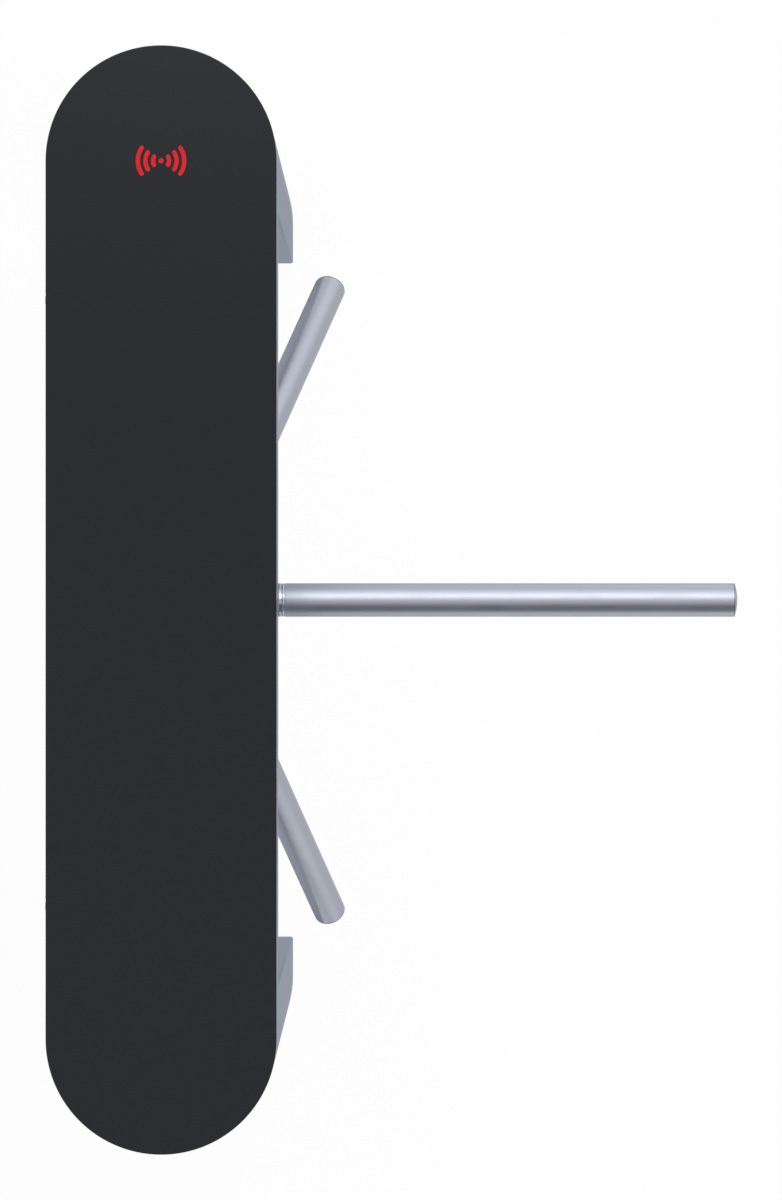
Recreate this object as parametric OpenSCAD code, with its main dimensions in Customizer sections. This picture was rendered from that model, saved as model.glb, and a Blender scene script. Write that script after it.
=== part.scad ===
// Tripod turnstile: a bridge-shaped cabinet on two D-shaped legs, with a motorised
// three-arm hub on its slanted underside. Origin: floor, centre of the footprint.
// +X points into the passage, +Y along the cabinet to the card reader, +Z up.

/* [Cabinet] */
// Length of the cabinet along the passage
cabinet_l = 1200; // [1150:5:1300]
// Width of the cabinet across
cabinet_w = 250; // [246:1:262]
// Height of the glass top over the floor
cabinet_h = 1000; // [960:5:1060]
// Length of each leg along the passage, round end included
leg_l = 175; // [168:1:190]
// Height of the upright band under the top, glass included
band_h = 86; // [82:1:92]
// Height of the beam from its underside to the glass top
beam_h = 236; // [226:1:250]
// Thickness of the cabinet's sheet steel
sheet_t = 2; // [1.5:0.25:2.5]
// Radius of the legs' upright corners
corner_r = 3; // [2.75:0.25:5]

/* [Top] */
// Thickness of the glass top
glass_t = 8; // [6:0.5:10]
// Chamfer round the glass
glass_chamfer = 1; // [0.5:0.25:2]
// Shadow gap between the cabinet's rim and the glass
shadow_gap = 6.5; // [6:0.1:8]
// Width of the rim that is folded in at the top of the cabinet
rim_w = 26; // [25:0.5:30]
// Depth of the skirt under the lid pan
skirt_h = 15; // [12:0.5:20]
// Width of the lid's rubber gasket
gasket_w = 6; // [4:0.5:6]
// Length of one lid hinge
lid_hinge_l = 72; // [60:2:90]
// Distance from the middle of the lid to its outer hinges and locks
lid_hinge_y = 330; // [250:5:350]

/* [Arms and hub] */
// Depth of the horizontal arm's axis below the glass top
arm_drop = 120; // [116:1:124]
// Distance from the passage face to the point where the arm axes cross
pivot_inset = 99.5; // [97:0.5:101]
// Outer diameter of an arm tube
arm_d = 37; // [34:0.5:39]
// Wall of an arm tube
arm_wall = 1.5; // [1.25:0.25:2.5]
// Length of an arm tube
arm_tube_l = 496; // [380:2:500]
// Height of the dome on an arm's end cap
dome_h = 2.6; // [2:0.2:5]
// Distance from the crossing point to the flat face of an arm socket
hub_reach = 97; // [95:0.5:100]
// Length of the polished collar between hub and tube
collar_l = 9.2; // [8:0.2:12]
// Radius of the hub's rim
hub_r = 82; // [78:0.5:84]
// Height of the hub's upright rim
hub_rim_h = 3.5; // [2:0.5:5]
// Radius of the hub's flat nose
nose_r = 30; // [27:0.5:33]
// Running gap between hub and slanted face
hub_gap = 2.2; // [1.5:0.1:3]

/* [Drive] */
// Bore of the main bearings
bearing_bore = 30; // [28:0.5:32]
// Outer diameter of the main bearings
bearing_d = 62; // [60:0.5:66]
// Width of one main bearing
bearing_w = 16; // [14:0.5:18]
// Thickness of the drive's two steel plates
plate_t = 5; // [4:0.5:6]
// Clear distance between the two plates
plate_gap = 50.3; // [50:0.1:54]
// Module of the gear teeth
gear_module = 1.5; // [1.5:0.05:1.6]
// Teeth on the drive gear
gear_teeth = 84; // [80:4:84]
// Teeth on the motor pinion
pinion_teeth = 21; // [20:1:21]
// Width of the drive gear's rim
gear_w = 10; // [8:0.5:11]
// Backlash at the pitch circle, on each flank
backlash = 0.08; // [0.06:0.01:0.15]
// Side of the square motor
motor_side = 57; // [50:1:60]
// Length of the motor body
motor_l = 42; // [36:1:43]
// Diameter of the motor shaft
motor_shaft_d = 8; // [6:0.5:10]
// Radius of the encoder disc
encoder_r = 60; // [50:1:60]
// Number of slots in the encoder disc
encoder_slots = 36; // [24:6:48]

/* [Doors and locks] */
// Width of a leg's service door
door_w = 200; // [190:1:206]
// Height of a leg's service door
door_h = 646; // [560:2:660]
// Height of the door's lower edge over the floor
door_z = 62; // [50:1:80]
// Overlap of the door on its frame
door_lap = 8; // [7:0.5:10]
// Thickness of the door's sheet
door_t = 2; // [1.5:0.25:2.5]
// Radius of a hinge knuckle
knuckle_r = 2.5; // [2.25:0.05:2.6]
// Radius of a hinge pin
hinge_pin_r = 1.2; // [1:0.05:1.4]
// Thickness of a hinge leaf
leaf_t = 1.2; // [1:0.05:1.3]
// Width of a hinge leaf
leaf_w = 14; // [11:0.5:14]
// Radius of a lock's barrel
barrel_r = 8; // [7:0.5:9]
// Length of a lock's cam from its axis
cam_l = 30; // [28:0.5:32]

/* [Floor fixing] */
// Thickness of the base plates
base_t = 8; // [6:0.5:12]
// Diameter of the anchor holes
anchor_d = 14; // [12:0.5:16]
// Spacing across of the outer anchors
anchor_outer_x = 120; // [100:1:130]
// Distance of the outer anchors from the tip of the leg's round end
anchor_outer_in = 55; // [50:1:75]
// Spacing across of the inner anchors
anchor_inner_x = 170; // [160:1:180]
// Distance of the inner anchors from the leg's flat side
anchor_inner_in = 20; // [15:1:25]
// Diameter of the cable entry in each base plate
cable_entry_d = 60; // [40:1:70]

/* [Hidden] */
$fn = 96;
// Clearances: round fits, pieces that slide past, and soft seats
fit = 0.05;
seat = 0.3;
run = 1;

half_w = cabinet_w / 2;
end_y = cabinet_l / 2 - half_w;
leg_y = cabinet_l / 2 - leg_l;
beam_z = cabinet_h - beam_h;
band_z = cabinet_h - band_h;
glass_z = cabinet_h - glass_t;
rim_z = glass_z - shadow_gap;
wall_top = rim_z - sheet_t;
slant_x = half_w - (band_z - beam_z);
pan_t = 2;
pan_z = glass_z - pan_t;
flange_l = 1.5 * corner_r;

// Hub axis: 45 degrees down into the passage, through the point where the arms cross
pivot_x = half_w - pivot_inset;
pivot_z = cabinet_h - arm_drop;
face_s = (pivot_z - pivot_x - (band_z - half_w)) / sqrt(2);
hub_s = face_s + hub_gap;
socket_sum = hub_reach * sqrt(2);
cone_sum = socket_sum - 3;
nose_s = cone_sum - nose_r;
socket_r = arm_d / 2 + 1.5;
stud_r = 10;
stud_l = hub_reach - (hub_s + 2) * sqrt(2) - stud_r;
cap_r = nose_r - 8;
cap_t = 5;

// Stations along the hub axis, counted from the crossing point
front_plate_s = face_s - sheet_t - plate_t;
rear_plate_s = front_plate_s - plate_gap;
gear_s = rear_plate_s - plate_t - 4 - gear_w;
disc_s = gear_s - 7.5;
disc_t = 1.5;
front_bearing_s = face_s - 6.3 - bearing_w;
rear_bearing_s = rear_plate_s + 4;
spindle_r = bearing_bore / 2;
seat_r = spindle_r - 1;
thread_r = seat_r - 2;
nut_h = 12;
bearing_r = bearing_d / 2;
housing_r = bearing_r + 7;
flange_r = housing_r + 14;
flange_t = 6;
boss_r = spindle_r + 5;
washer_s = hub_s + 31.5;
washer_t = 4;
key_w = 8;
key_h = 7;
key_l = gear_w;

gear_r = gear_module * gear_teeth / 2;
pinion_r = gear_module * pinion_teeth / 2;
motor_y = gear_r + pinion_r;
pillar_x = gear_r - 3;
pillar_r = 6;
pillar_back = -pillar_x;
pillar_front = motor_y + motor_side / 2 + pillar_r;
plate_edge = 14;
motor_lip_r = 19;

// Lid hinge and locks
lid_axis_x = half_w - knuckle_r - 0.5;
lid_axis_z = rim_z + knuckle_r + seat;
knuckle_n = 5;
lid_lock_drop = 30.5;
lid_lock_z = rim_z - lid_lock_drop;
lock_face = 2.5;
plug_r = barrel_r - 3;
cam_t = 2;
cam_w = 10;
skirt_inset = rim_w + 2;
// The lid's hooks stand this far inside the rim's edge, so that they swing past it
keeper_in = 4.5;
keeper_run = 2;
lid_barrel_l = rim_w + keeper_in + keeper_run;
keeper_y = 12;
keeper_l = 20;

// Door hinge and locks: x of the hinge axis, and places inside one leg, seen from the bay
door_axis_y = door_t + 1;
door_edge = -door_w / 2;
door_axis_x = door_edge - 2 * knuckle_r;
door_hinge_l = 50;
door_hinge_in = 70;
door_lock_x = door_w / 2 - door_lap - 20;
door_lock_z = door_z + door_h / 2;
door_barrel_l = door_t + sheet_t + 1;
window_w = 100;
window_h = 150;

// Rail and terminal blocks in the beam
rail_w = 35;
rail_l = 150;
rail_h = 7.5;
rail_lip = 5;
terminal_in = 30;
terminal_back = 230;
terminal_start = 14;
terminal_pitch = 8.2;
terminal_w = 43;
terminal_h = 34;
terminal_step = 5;
terminal_hole = 8;
terminal_wall = 2;

reader_side = 84;
reader_t = 16;
reader_hole = 112;

steel = "#a9acb0";
polished = "#d8dade";
black = "#2d2e31";
rubber = "#1c1c1e";
zinc = "#b9bcc0";
cast = "#9a9da1";
brass = "#c9a24a";
green = "#2f6b45";

// Shared outlines and frames

module stadium(inset) {
    for (side = [-1, 1]) translate([0, side * end_y]) circle(half_w - inset);
    square([cabinet_w - 2 * inset, 2 * end_y], center = true);
}

module stadium_ring(outer, inner) {
    difference() {
        stadium(outer);
        stadium(inner);
    }
}

// Plan of the front leg: round to the outside, flat towards the arms
module leg_plan(inset) {
    r = corner_r - inset > 0.5 ? corner_r - inset : 0.5;
    flat = leg_y + inset;
    half = half_w - inset;
    intersection() {
        translate([0, end_y]) circle(half);
        translate([-half, end_y]) square([2 * half, half]);
    }
    translate([-half, flat + r]) square([2 * half, end_y - flat - r]);
    translate([r - half, flat]) square([2 * half - 2 * r, r + 1]);
    for (side = [-1, 1]) translate([side * (half - r), flat + r]) circle(r);
}

module at_hub() {
    translate([pivot_x, 0, pivot_z]) rotate([0, 135, 0]) children();
}

// Number 0 is the level arm, 1 and 2 the two lower ones
module at_arm(number) {
    rotate([0, 0, 180 + 120 * number]) rotate([0, 45, 0]) children();
}

module at_motor() {
    translate([0, motor_y, 0]) children();
}

// Local frame of a leg door: x as the cabinet's, y outwards into the bay, z up
module at_door(side) {
    if (side > 0) translate([0, leg_y, 0]) mirror([0, 1, 0]) children();
    else translate([0, -leg_y, 0]) children();
}

module ring(outer, inner, height) {
    difference() {
        cylinder(r = outer, h = height);
        translate([0, 0, -1]) cylinder(r = inner, h = height + 2);
    }
}

// Cabinet

// Sheet of the leg's plan between two distances from its flat side
module leg_sheet(from, to) {
    linear_extrude(wall_top) intersection() {
        difference() {
            leg_plan(0);
            leg_plan(sheet_t);
        }
        translate([-half_w - 1, leg_y + from]) square([cabinet_w + 2, to - from]);
    }
}

// Sheet that is rolled round the leg's sides and end
module leg_shell() {
    color(steel) leg_sheet(flange_l, leg_l + 1);
}

// Folded panel towards the arms, welded to the rolled sheet along its two flanges
module leg_bulkhead() {
    difference() {
        leg_sheet(-1, flange_l);
        translate([door_lap - door_w / 2, leg_y - 1, door_z + door_lap])
            cube([door_w - 2 * door_lap, sheet_t + 2, door_h - 2 * door_lap]);
        // Way for the cables from the leg into the beam
        translate([20 - half_w, leg_y - 1, wall_top - window_h - 20])
            cube([window_w, sheet_t + 2, window_h]);
        // Notch for the lid's skirt
        translate([rim_w - run - half_w, leg_y - 1, pan_z - skirt_h - 4])
            cube([cabinet_w - 2 * (rim_w - run), sheet_t + 2, cabinet_h]);
    }
}

module front_leg_shell() { leg_shell(); }

module rear_leg_shell() { mirror([0, 1, 0]) leg_shell(); }

module leg_bulkheads() {
    color(steel) {
        leg_bulkhead();
        mirror([0, 1, 0]) leg_bulkhead();
    }
}

// Section of the beam, folded from one sheet and open at the top
module beam_section() {
    tuck = sheet_t * (sqrt(2) - 1);
    polygon([
        [half_w, wall_top], [half_w, band_z], [slant_x, beam_z], [-half_w, beam_z],
        [-half_w, wall_top], [sheet_t - half_w, wall_top],
        [sheet_t - half_w, beam_z + sheet_t], [slant_x - tuck, beam_z + sheet_t],
        [half_w - sheet_t, band_z + tuck], [half_w - sheet_t, wall_top]
    ]);
}

module beam_shell() {
    color(steel) difference() {
        translate([0, leg_y, 0]) rotate([90, 0, 0]) linear_extrude(2 * leg_y) beam_section();
        at_hub() translate([0, 0, face_s - sheet_t - 5]) cylinder(r = housing_r + 4, h = 15);
        for (side = [-1, 1])
            translate([-half_w - 1, side * lid_hinge_y, lid_lock_z])
                rotate([0, 90, 0]) cylinder(r = barrel_r + fit, h = sheet_t + 2);
    }
}

module top_rim() {
    color(steel) translate([0, 0, wall_top]) linear_extrude(sheet_t) stadium_ring(0, rim_w);
}

module base_plate() {
    color(zinc) difference() {
        linear_extrude(base_t) leg_plan(sheet_t + seat);
        for (side = [-1, 1]) {
            translate([side * anchor_outer_x / 2, cabinet_l / 2 - anchor_outer_in, -1])
                cylinder(d = anchor_d, h = base_t + 2);
            translate([side * anchor_inner_x / 2, leg_y + anchor_inner_in, -1])
                cylinder(d = anchor_d, h = base_t + 2);
        }
        translate([0, end_y + 15, -1]) cylinder(d = cable_entry_d, h = base_t + 2);
    }
}

module front_base_plate() { base_plate(); }

module rear_base_plate() { mirror([0, 1, 0]) base_plate(); }

// Lid

module glass_top() {
    top = glass_chamfer;
    color(black) translate([0, 0, glass_z]) {
        linear_extrude(glass_t - top) stadium(0);
        for (side = [-1, 1])
            translate([0, side * end_y, glass_t - top])
                cylinder(r1 = half_w, r2 = half_w - top, h = top);
        translate([0, end_y, glass_t - top]) rotate([90, 0, 0]) linear_extrude(2 * end_y)
            polygon([[-half_w, 0], [half_w, 0], [half_w - top, top], [top - half_w, top]]);
    }
}

module lid_pan() {
    color(steel) difference() {
        union() {
            translate([0, 0, pan_z]) linear_extrude(pan_t) stadium(6);
            translate([0, 0, pan_z - skirt_h])
                linear_extrude(skirt_h) stadium_ring(skirt_inset, skirt_inset + pan_t);
        }
        translate([0, end_y, pan_z - 1]) cylinder(d = reader_hole, h = pan_t + 2);
    }
}

module lid_gasket() {
    outer = rim_w - 1 - gasket_w;
    color(rubber) translate([0, 0, rim_z + seat])
        linear_extrude(pan_z - rim_z - seat) stadium_ring(outer, outer + gasket_w);
}

// Hooks under the pan that the lid locks' cams hold down
module lid_lock_keepers() {
    tip = rim_w + keeper_in - half_w;
    plate = lid_barrel_l - half_w + cam_t + keeper_run;
    foot = lid_lock_z - cam_w / 2 - seat - cam_t;
    color(zinc) for (side = [-1, 1]) translate([0, side * lid_hinge_y + keeper_y, 0]) {
        translate([plate, 0, foot]) cube([cam_t, keeper_l, pan_z - foot]);
        translate([tip, 0, foot]) cube([plate + cam_t - tip, keeper_l, cam_t]);
    }
}

module card_reader() {
    side = reader_side;
    r = 10;
    color(black) translate([0, end_y, glass_z - reader_t]) difference() {
        linear_extrude(reader_t) {
            square([side, side - 2 * r], center = true);
            square([side - 2 * r, side], center = true);
            for (x = [-1, 1], y = [-1, 1])
                translate([x * (side / 2 - r), y * (side / 2 - r)]) circle(r);
        }
        translate([0, 0, -1]) cylinder(r = side / 4, h = 3);
        translate([-8, -side / 2 - 1, 3]) cube([16, 6, 6]);
    }
}

// Hinges: knuckles of one leaf alternate with those of the other

module knuckles(length, first) {
    pitch = length / knuckle_n;
    for (i = [first : 2 : knuckle_n - 1])
        translate([0, 0, i * pitch + seat / 2]) ring(knuckle_r, hinge_pin_r + fit, pitch - seat);
}

// A leaf that lies along +x from the hinge axis, its outer face at the given height
module hinge_leaf(length, first, low, high) {
    pitch = length / knuckle_n;
    difference() {
        union() {
            knuckles(length, first);
            translate([knuckle_r + 0.5, low, 0]) cube([leaf_w - knuckle_r - 0.5, high - low, length]);
            for (i = [first : 2 : knuckle_n - 1])
                translate([0, low, i * pitch + seat / 2])
                    cube([leaf_w, high - low, pitch - seat]);
        }
        translate([0, 0, -1]) cylinder(r = hinge_pin_r + fit, h = length + 2);
    }
}

module at_lid_hinges() {
    for (spot = [-1, 0, 1])
        translate([lid_axis_x, spot * lid_hinge_y + lid_hinge_l / 2, lid_axis_z])
            rotate([90, 0, 0]) mirror([1, 0, 0]) children();
}

module lid_hinge_lower_leaves() {
    low = rim_z - lid_axis_z;
    color(zinc) at_lid_hinges() hinge_leaf(lid_hinge_l, 0, low, low + leaf_t);
}

module lid_hinge_upper_leaves() {
    high = pan_z - lid_axis_z;
    color(zinc) at_lid_hinges() hinge_leaf(lid_hinge_l, 1, high - leaf_t, high);
}

module lid_hinge_pins() {
    color(polished) at_lid_hinges() cylinder(r = hinge_pin_r, h = lid_hinge_l);
}

// Locks: a barrel along +z from the face of its panel, with a turning plug and cam

module lock_barrel(length) {
    color(zinc) difference() {
        union() {
            translate([0, 0, -lock_face]) cylinder(r = barrel_r + 3, h = lock_face);
            cylinder(r = barrel_r, h = length);
        }
        translate([0, 0, -lock_face - 1]) cylinder(r = plug_r + fit, h = length + lock_face + 2);
    }
}

// The cam lies along +x
module lock_cam(length) {
    color(polished) difference() {
        union() {
            translate([0, 0, -lock_face]) cylinder(r = plug_r, h = lock_face + length + seat + cam_t);
            translate([0, 0, length + seat]) {
                cylinder(r = cam_w / 2 + 1, h = cam_t);
                translate([0, -cam_w / 2, 0]) cube([cam_l - cam_w / 2, cam_w, cam_t]);
                translate([cam_l - cam_w / 2, 0, 0]) cylinder(r = cam_w / 2, h = cam_t);
            }
        }
        translate([-0.6, -plug_r + 1.5, -lock_face - 1]) cube([1.2, 2 * plug_r - 3, 6]);
    }
}

// Both lid locks are on the side away from the passage
module at_lid_lock(side) {
    translate([-half_w, side * lid_hinge_y, lid_lock_z]) rotate([0, 90, 0]) children();
}

module lid_lock_barrels() {
    for (side = [-1, 1]) at_lid_lock(side) lock_barrel(lid_barrel_l);
}

// At rest the cams stand straight up, clear of the hooks
module lid_lock_cam(side) {
    at_lid_lock(side) rotate([0, 0, 180]) lock_cam(lid_barrel_l);
}

module front_lid_lock_cam() { lid_lock_cam(1); }

module rear_lid_lock_cam() { lid_lock_cam(-1); }

// Leg doors

module door(side) {
    color(steel) at_door(side) difference() {
        union() {
            translate([-door_w / 2, 0, door_z]) cube([door_w, door_t, door_h]);
            // Stiffening folds behind the sheet, inside the opening
            for (x = [door_lap + 4 - door_w / 2, door_w / 2 - door_lap - 6])
                translate([x, -12, door_z + door_lap + 4])
                    cube([2, 12, door_h - 2 * door_lap - 8]);
        }
        translate([door_lock_x, door_t + 1, door_lock_z])
            rotate([90, 0, 0]) cylinder(r = barrel_r + fit, h = door_t + 2);
        // Notch in the fold, for the cam as it turns
        translate([door_lock_x + cam_w, -13, door_lock_z - cam_l - run])
            cube([door_w, 13, cam_l + cam_w / 2 + 2 * run]);
        // Ventilation slots near the foot
        for (i = [0 : 5])
            translate([-40, -1, door_z + 60 + 14 * i]) cube([80, door_t + 2, 4]);
    }
}

module at_door_hinges(side) {
    for (z = [door_z + door_hinge_in, door_z + door_h - door_hinge_in - door_hinge_l])
        at_door(side) translate([door_axis_x, door_axis_y, z]) children();
}

module at_door_lock(side) {
    at_door(side) translate([door_lock_x, door_t, door_lock_z]) rotate([90, 0, 0]) children();
}

module front_door() { door(1); }

module rear_door() { door(-1); }

module door_leaves(side) {
    low = door_t - door_axis_y;
    color(zinc) at_door_hinges(side) hinge_leaf(door_hinge_l, 1, low, low + leaf_t);
}

module front_door_leaves() { door_leaves(1); }

module rear_door_leaves() { door_leaves(-1); }

module door_frame_leaves() {
    low = -door_axis_y;
    color(zinc) for (side = [-1, 1])
        at_door_hinges(side) mirror([1, 0, 0]) hinge_leaf(door_hinge_l, 0, low, low + leaf_t);
}

module door_hinge_pins() {
    color(polished) for (side = [-1, 1])
        at_door_hinges(side) cylinder(r = hinge_pin_r, h = door_hinge_l);
}

module front_door_lock_barrel() { at_door_lock(1) lock_barrel(door_barrel_l); }

module rear_door_lock_barrel() { at_door_lock(-1) lock_barrel(door_barrel_l); }

// At rest the cams hang straight down, unlocked
module front_door_lock_cam() {
    at_door_lock(1) rotate([0, 0, -90]) lock_cam(door_barrel_l);
}

module rear_door_lock_cam() {
    at_door_lock(-1) rotate([0, 0, -90]) lock_cam(door_barrel_l);
}

// Fixed parts of the drive, in the hub's frame

module hub_trim_ring() {
    inner = hub_r + run;
    color(rubber) at_hub() rotate_extrude() polygon([
        [inner, face_s], [inner + 6, face_s], [inner + 6, face_s + 1.5],
        [inner + 3.5, face_s + 4], [inner, face_s + 4]
    ]);
}

module plate_outline() {
    low = pillar_back - plate_edge;
    high = pillar_front + plate_edge;
    width = 2 * (pillar_x + plate_edge);
    translate([-width / 2, low]) square([width, high - low]);
}

module pillar_spots() {
    for (x = [-pillar_x, pillar_x], y = [pillar_back, pillar_front]) translate([x, y, 0]) children();
}

module drive_front_plate() {
    color(zinc) at_hub() difference() {
        translate([0, 0, front_plate_s]) linear_extrude(plate_t) plate_outline();
        translate([0, 0, front_plate_s - 1]) cylinder(r = housing_r + fit, h = plate_t + 2);
    }
}

module drive_rear_plate() {
    color(zinc) at_hub() difference() {
        translate([0, 0, rear_plate_s - plate_t]) linear_extrude(plate_t) plate_outline();
        translate([0, 0, rear_plate_s - plate_t - 1]) cylinder(r = boss_r + run, h = plate_t + 2);
        at_motor() translate([0, 0, rear_plate_s - plate_t - 1])
            cylinder(r = motor_lip_r + seat, h = plate_t + 2);
    }
}

module drive_pillars() {
    color(zinc) at_hub() pillar_spots() translate([0, 0, rear_plate_s])
        cylinder(r = pillar_r, h = plate_gap);
}

module bearing_housing() {
    color(cast) at_hub() difference() {
        union() {
            translate([0, 0, rear_plate_s]) cylinder(r = housing_r, h = face_s - rear_plate_s);
            translate([0, 0, front_plate_s - flange_t]) cylinder(r = flange_r, h = flange_t);
        }
        translate([0, 0, front_bearing_s]) cylinder(r = bearing_r + fit, h = 60);
        translate([0, 0, rear_plate_s - 1])
            cylinder(r = bearing_r + fit, h = rear_bearing_s + bearing_w - rear_plate_s + 1);
        translate([0, 0, rear_plate_s - 1]) cylinder(r = bearing_r - 4, h = 100);
        // Groove for the circlip
        translate([0, 0, rear_bearing_s - 1.7]) cylinder(r = bearing_r + 1.2, h = 1.7);
        for (a = [45 : 90 : 315]) rotate([0, 0, a])
            translate([housing_r + 7, 0, front_plate_s - flange_t - 1]) cylinder(r = 3.3, h = flange_t + 2);
    }
}

module bearing_spots() {
    for (s = [front_bearing_s, rear_bearing_s]) translate([0, 0, s]) children();
}

// Outer rings with their dust shields
module bearing_outer_rings() {
    groove = (bearing_r + spindle_r) / 2;
    color(polished) at_hub() bearing_spots() {
        ring(bearing_r, groove + 4, bearing_w);
        translate([0, 0, 1]) ring(groove + 4, spindle_r + 4.5, 1);
        translate([0, 0, bearing_w - 2]) ring(groove + 4, spindle_r + 4.5, 1);
    }
}

module bearing_inner_rings() {
    color(polished) at_hub() bearing_spots() difference() {
        cylinder(r = spindle_r + 4, h = bearing_w);
        translate([0, 0, -1]) cylinder(r = spindle_r + 0.02, h = bearing_w + 2);
    }
}

module shaft_seal() {
    start = front_bearing_s + bearing_w + 0.5;
    color(rubber) at_hub() translate([0, 0, start])
        ring(bearing_r, boss_r + seat, face_s - start);
}

module bearing_circlip() {
    color(zinc) at_hub() translate([0, 0, rear_bearing_s - 1.6]) difference() {
        ring(bearing_r + 1, bearing_r - 3, 1.5);
        translate([-3, 0, -1]) cube([6, bearing_r + 2, 4]);
    }
}

module motor_body() {
    half = motor_side / 2;
    cut = motor_side * 0.82 * sqrt(2);
    color(black) at_hub() at_motor() difference() {
        union() {
            translate([0, 0, rear_plate_s]) intersection() {
                translate([-half, -half, 0]) cube([motor_side, motor_side, motor_l]);
                rotate([0, 0, 45]) translate([-cut / 2, -cut / 2, 0]) cube([cut, cut, motor_l]);
            }
            translate([0, 0, rear_plate_s - 2]) cylinder(r = motor_lip_r, h = 2);
        }
        translate([0, 0, rear_plate_s - 3]) cylinder(r = motor_shaft_d / 2 + fit, h = 22);
        for (s = [9, motor_l - 9]) translate([0, 0, rear_plate_s + s]) difference() {
            translate([-half - 1, -half - 1, -1]) cube([motor_side + 2, motor_side + 2, 2]);
            translate([1 - half, 1 - half, -2]) cube([motor_side - 2, motor_side - 2, 4]);
        }
    }
}

module encoder_sensor() {
    post_y = -gear_r - gear_module - 2 * run;
    depth = 12;
    arm_y = encoder_r - 6;
    color(black) at_hub() difference() {
        union() {
            translate([-8, post_y - 6, disc_s - 6]) cube([16, 6, rear_plate_s - plate_t - disc_s + 6]);
            translate([-8, post_y - 6, disc_s - 6]) cube([16, -arm_y - post_y + 6, depth]);
        }
        translate([-9, post_y + 1, disc_s - 1]) cube([18, 40, disc_t + 2]);
    }
}

// Gear teeth: involute flanks with a 20 degree pressure angle

function roll(angle) = tan(angle) * 180 / PI - angle;

function half_tooth(teeth, r) =
    let (pitch = gear_module * teeth / 2, base = pitch * cos(20))
    90 / teeth + roll(20) - roll(acos(min(1, base / r))) - backlash / pitch * 180 / PI;

function polar(r, angle) = [r * cos(angle), r * sin(angle)];

function tooth(teeth, middle) =
    let (
        pitch = gear_module * teeth / 2,
        root = pitch - 1.25 * gear_module,
        start = max(root, pitch * cos(20)),
        tip = pitch + gear_module,
        radii = [start, pitch, tip],
        foot = half_tooth(teeth, start)
    )
    concat(
        root < start ? [polar(root, middle - foot)] : [],
        [for (r = radii) polar(r, middle - half_tooth(teeth, r))],
        [for (i = [2 : -1 : 0]) polar(radii[i], middle + half_tooth(teeth, radii[i]))],
        root < start ? [polar(root, middle + foot)] : []
    );

// One tooth is centred on +y
module gear_outline(teeth) {
    polygon([for (i = [0 : teeth - 1]) each tooth(teeth, 90 + i * 360 / teeth)]);
}

// Turning parts on the spindle

module key_slot(radius, from, length) {
    translate([-key_w / 2, radius - 4, from]) cube([key_w, key_h, length]);
}

module spindle() {
    start = disc_s - nut_h - 2;
    shoulder = rear_plate_s - plate_t - 2;
    color(polished) at_hub() difference() {
        union() {
            translate([0, 0, start]) cylinder(r = thread_r, h = disc_s - start);
            translate([0, 0, disc_s]) cylinder(r = seat_r, h = shoulder - disc_s);
            translate([0, 0, shoulder])
                cylinder(r = spindle_r, h = front_bearing_s + bearing_w - shoulder);
            translate([0, 0, rear_bearing_s + bearing_w])
                cylinder(r = spindle_r + 3, h = front_bearing_s - rear_bearing_s - bearing_w);
            translate([0, 0, front_bearing_s + bearing_w])
                cylinder(r = seat_r, h = washer_s - 0.5 - front_bearing_s - bearing_w);
        }
        translate([0, 0, washer_s - 30]) cylinder(r = 6, h = 40);
        key_slot(seat_r, gear_s, key_l);
    }
}

module spindle_spacer() {
    start = rear_plate_s - plate_t - 2;
    color(zinc) at_hub() translate([0, 0, start])
        ring(boss_r - 1, spindle_r + fit, rear_bearing_s - start);
}

module drive_gear() {
    boss_s = disc_s + disc_t;
    rim_r = gear_r - 3 * gear_module - 2;
    color(steel) at_hub() difference() {
        union() {
            translate([0, 0, gear_s]) linear_extrude(gear_w) gear_outline(gear_teeth);
            translate([0, 0, boss_s]) cylinder(r = boss_r + 4, h = gear_s - boss_s);
            translate([0, 0, gear_s + gear_w]) cylinder(r = boss_r - 1, h = 2);
        }
        translate([0, 0, boss_s - 1]) cylinder(r = seat_r + 0.02, h = 40);
        key_slot(seat_r, boss_s - 1, 40);
        // Recessed web with lightening holes
        for (s = [gear_s - 1, gear_s + gear_w - 2]) translate([0, 0, s]) difference() {
            cylinder(r = rim_r, h = 3);
            translate([0, 0, -1]) cylinder(r = boss_r + 4, h = 5);
        }
        for (a = [30 : 60 : 330]) rotate([0, 0, a])
            translate([(rim_r + boss_r + 4) / 2, 0, gear_s]) cylinder(r = 11, h = gear_w);
    }
}

module gear_key() {
    color(zinc) at_hub() key_slot(seat_r, gear_s, key_l);
}

module encoder_disc() {
    color(black) at_hub() translate([0, 0, disc_s]) difference() {
        cylinder(r = encoder_r, h = disc_t);
        translate([0, 0, -1]) cylinder(r = seat_r + 0.02, h = disc_t + 2);
        for (i = [0 : encoder_slots - 1]) rotate([0, 0, i * 360 / encoder_slots])
            translate([encoder_r - 9, -1.5, -1]) cube([5, 3, disc_t + 2]);
        for (a = [0 : 120 : 240]) rotate([0, 0, a])
            translate([encoder_r * 0.6, 0, -1]) cylinder(r = 8, h = disc_t + 2);
    }
}

module spindle_nut() {
    color(zinc) at_hub() translate([0, 0, disc_s - nut_h]) difference() {
        cylinder(r = thread_r + 9, h = nut_h, $fn = 6);
        translate([0, 0, -1]) cylinder(r = thread_r + 0.02, h = nut_h + 2);
    }
}

module motor_shaft() {
    start = gear_s - 4;
    color(polished) at_hub() at_motor() translate([0, 0, start])
        cylinder(r = motor_shaft_d / 2, h = rear_plate_s + 18 - start);
}

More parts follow.
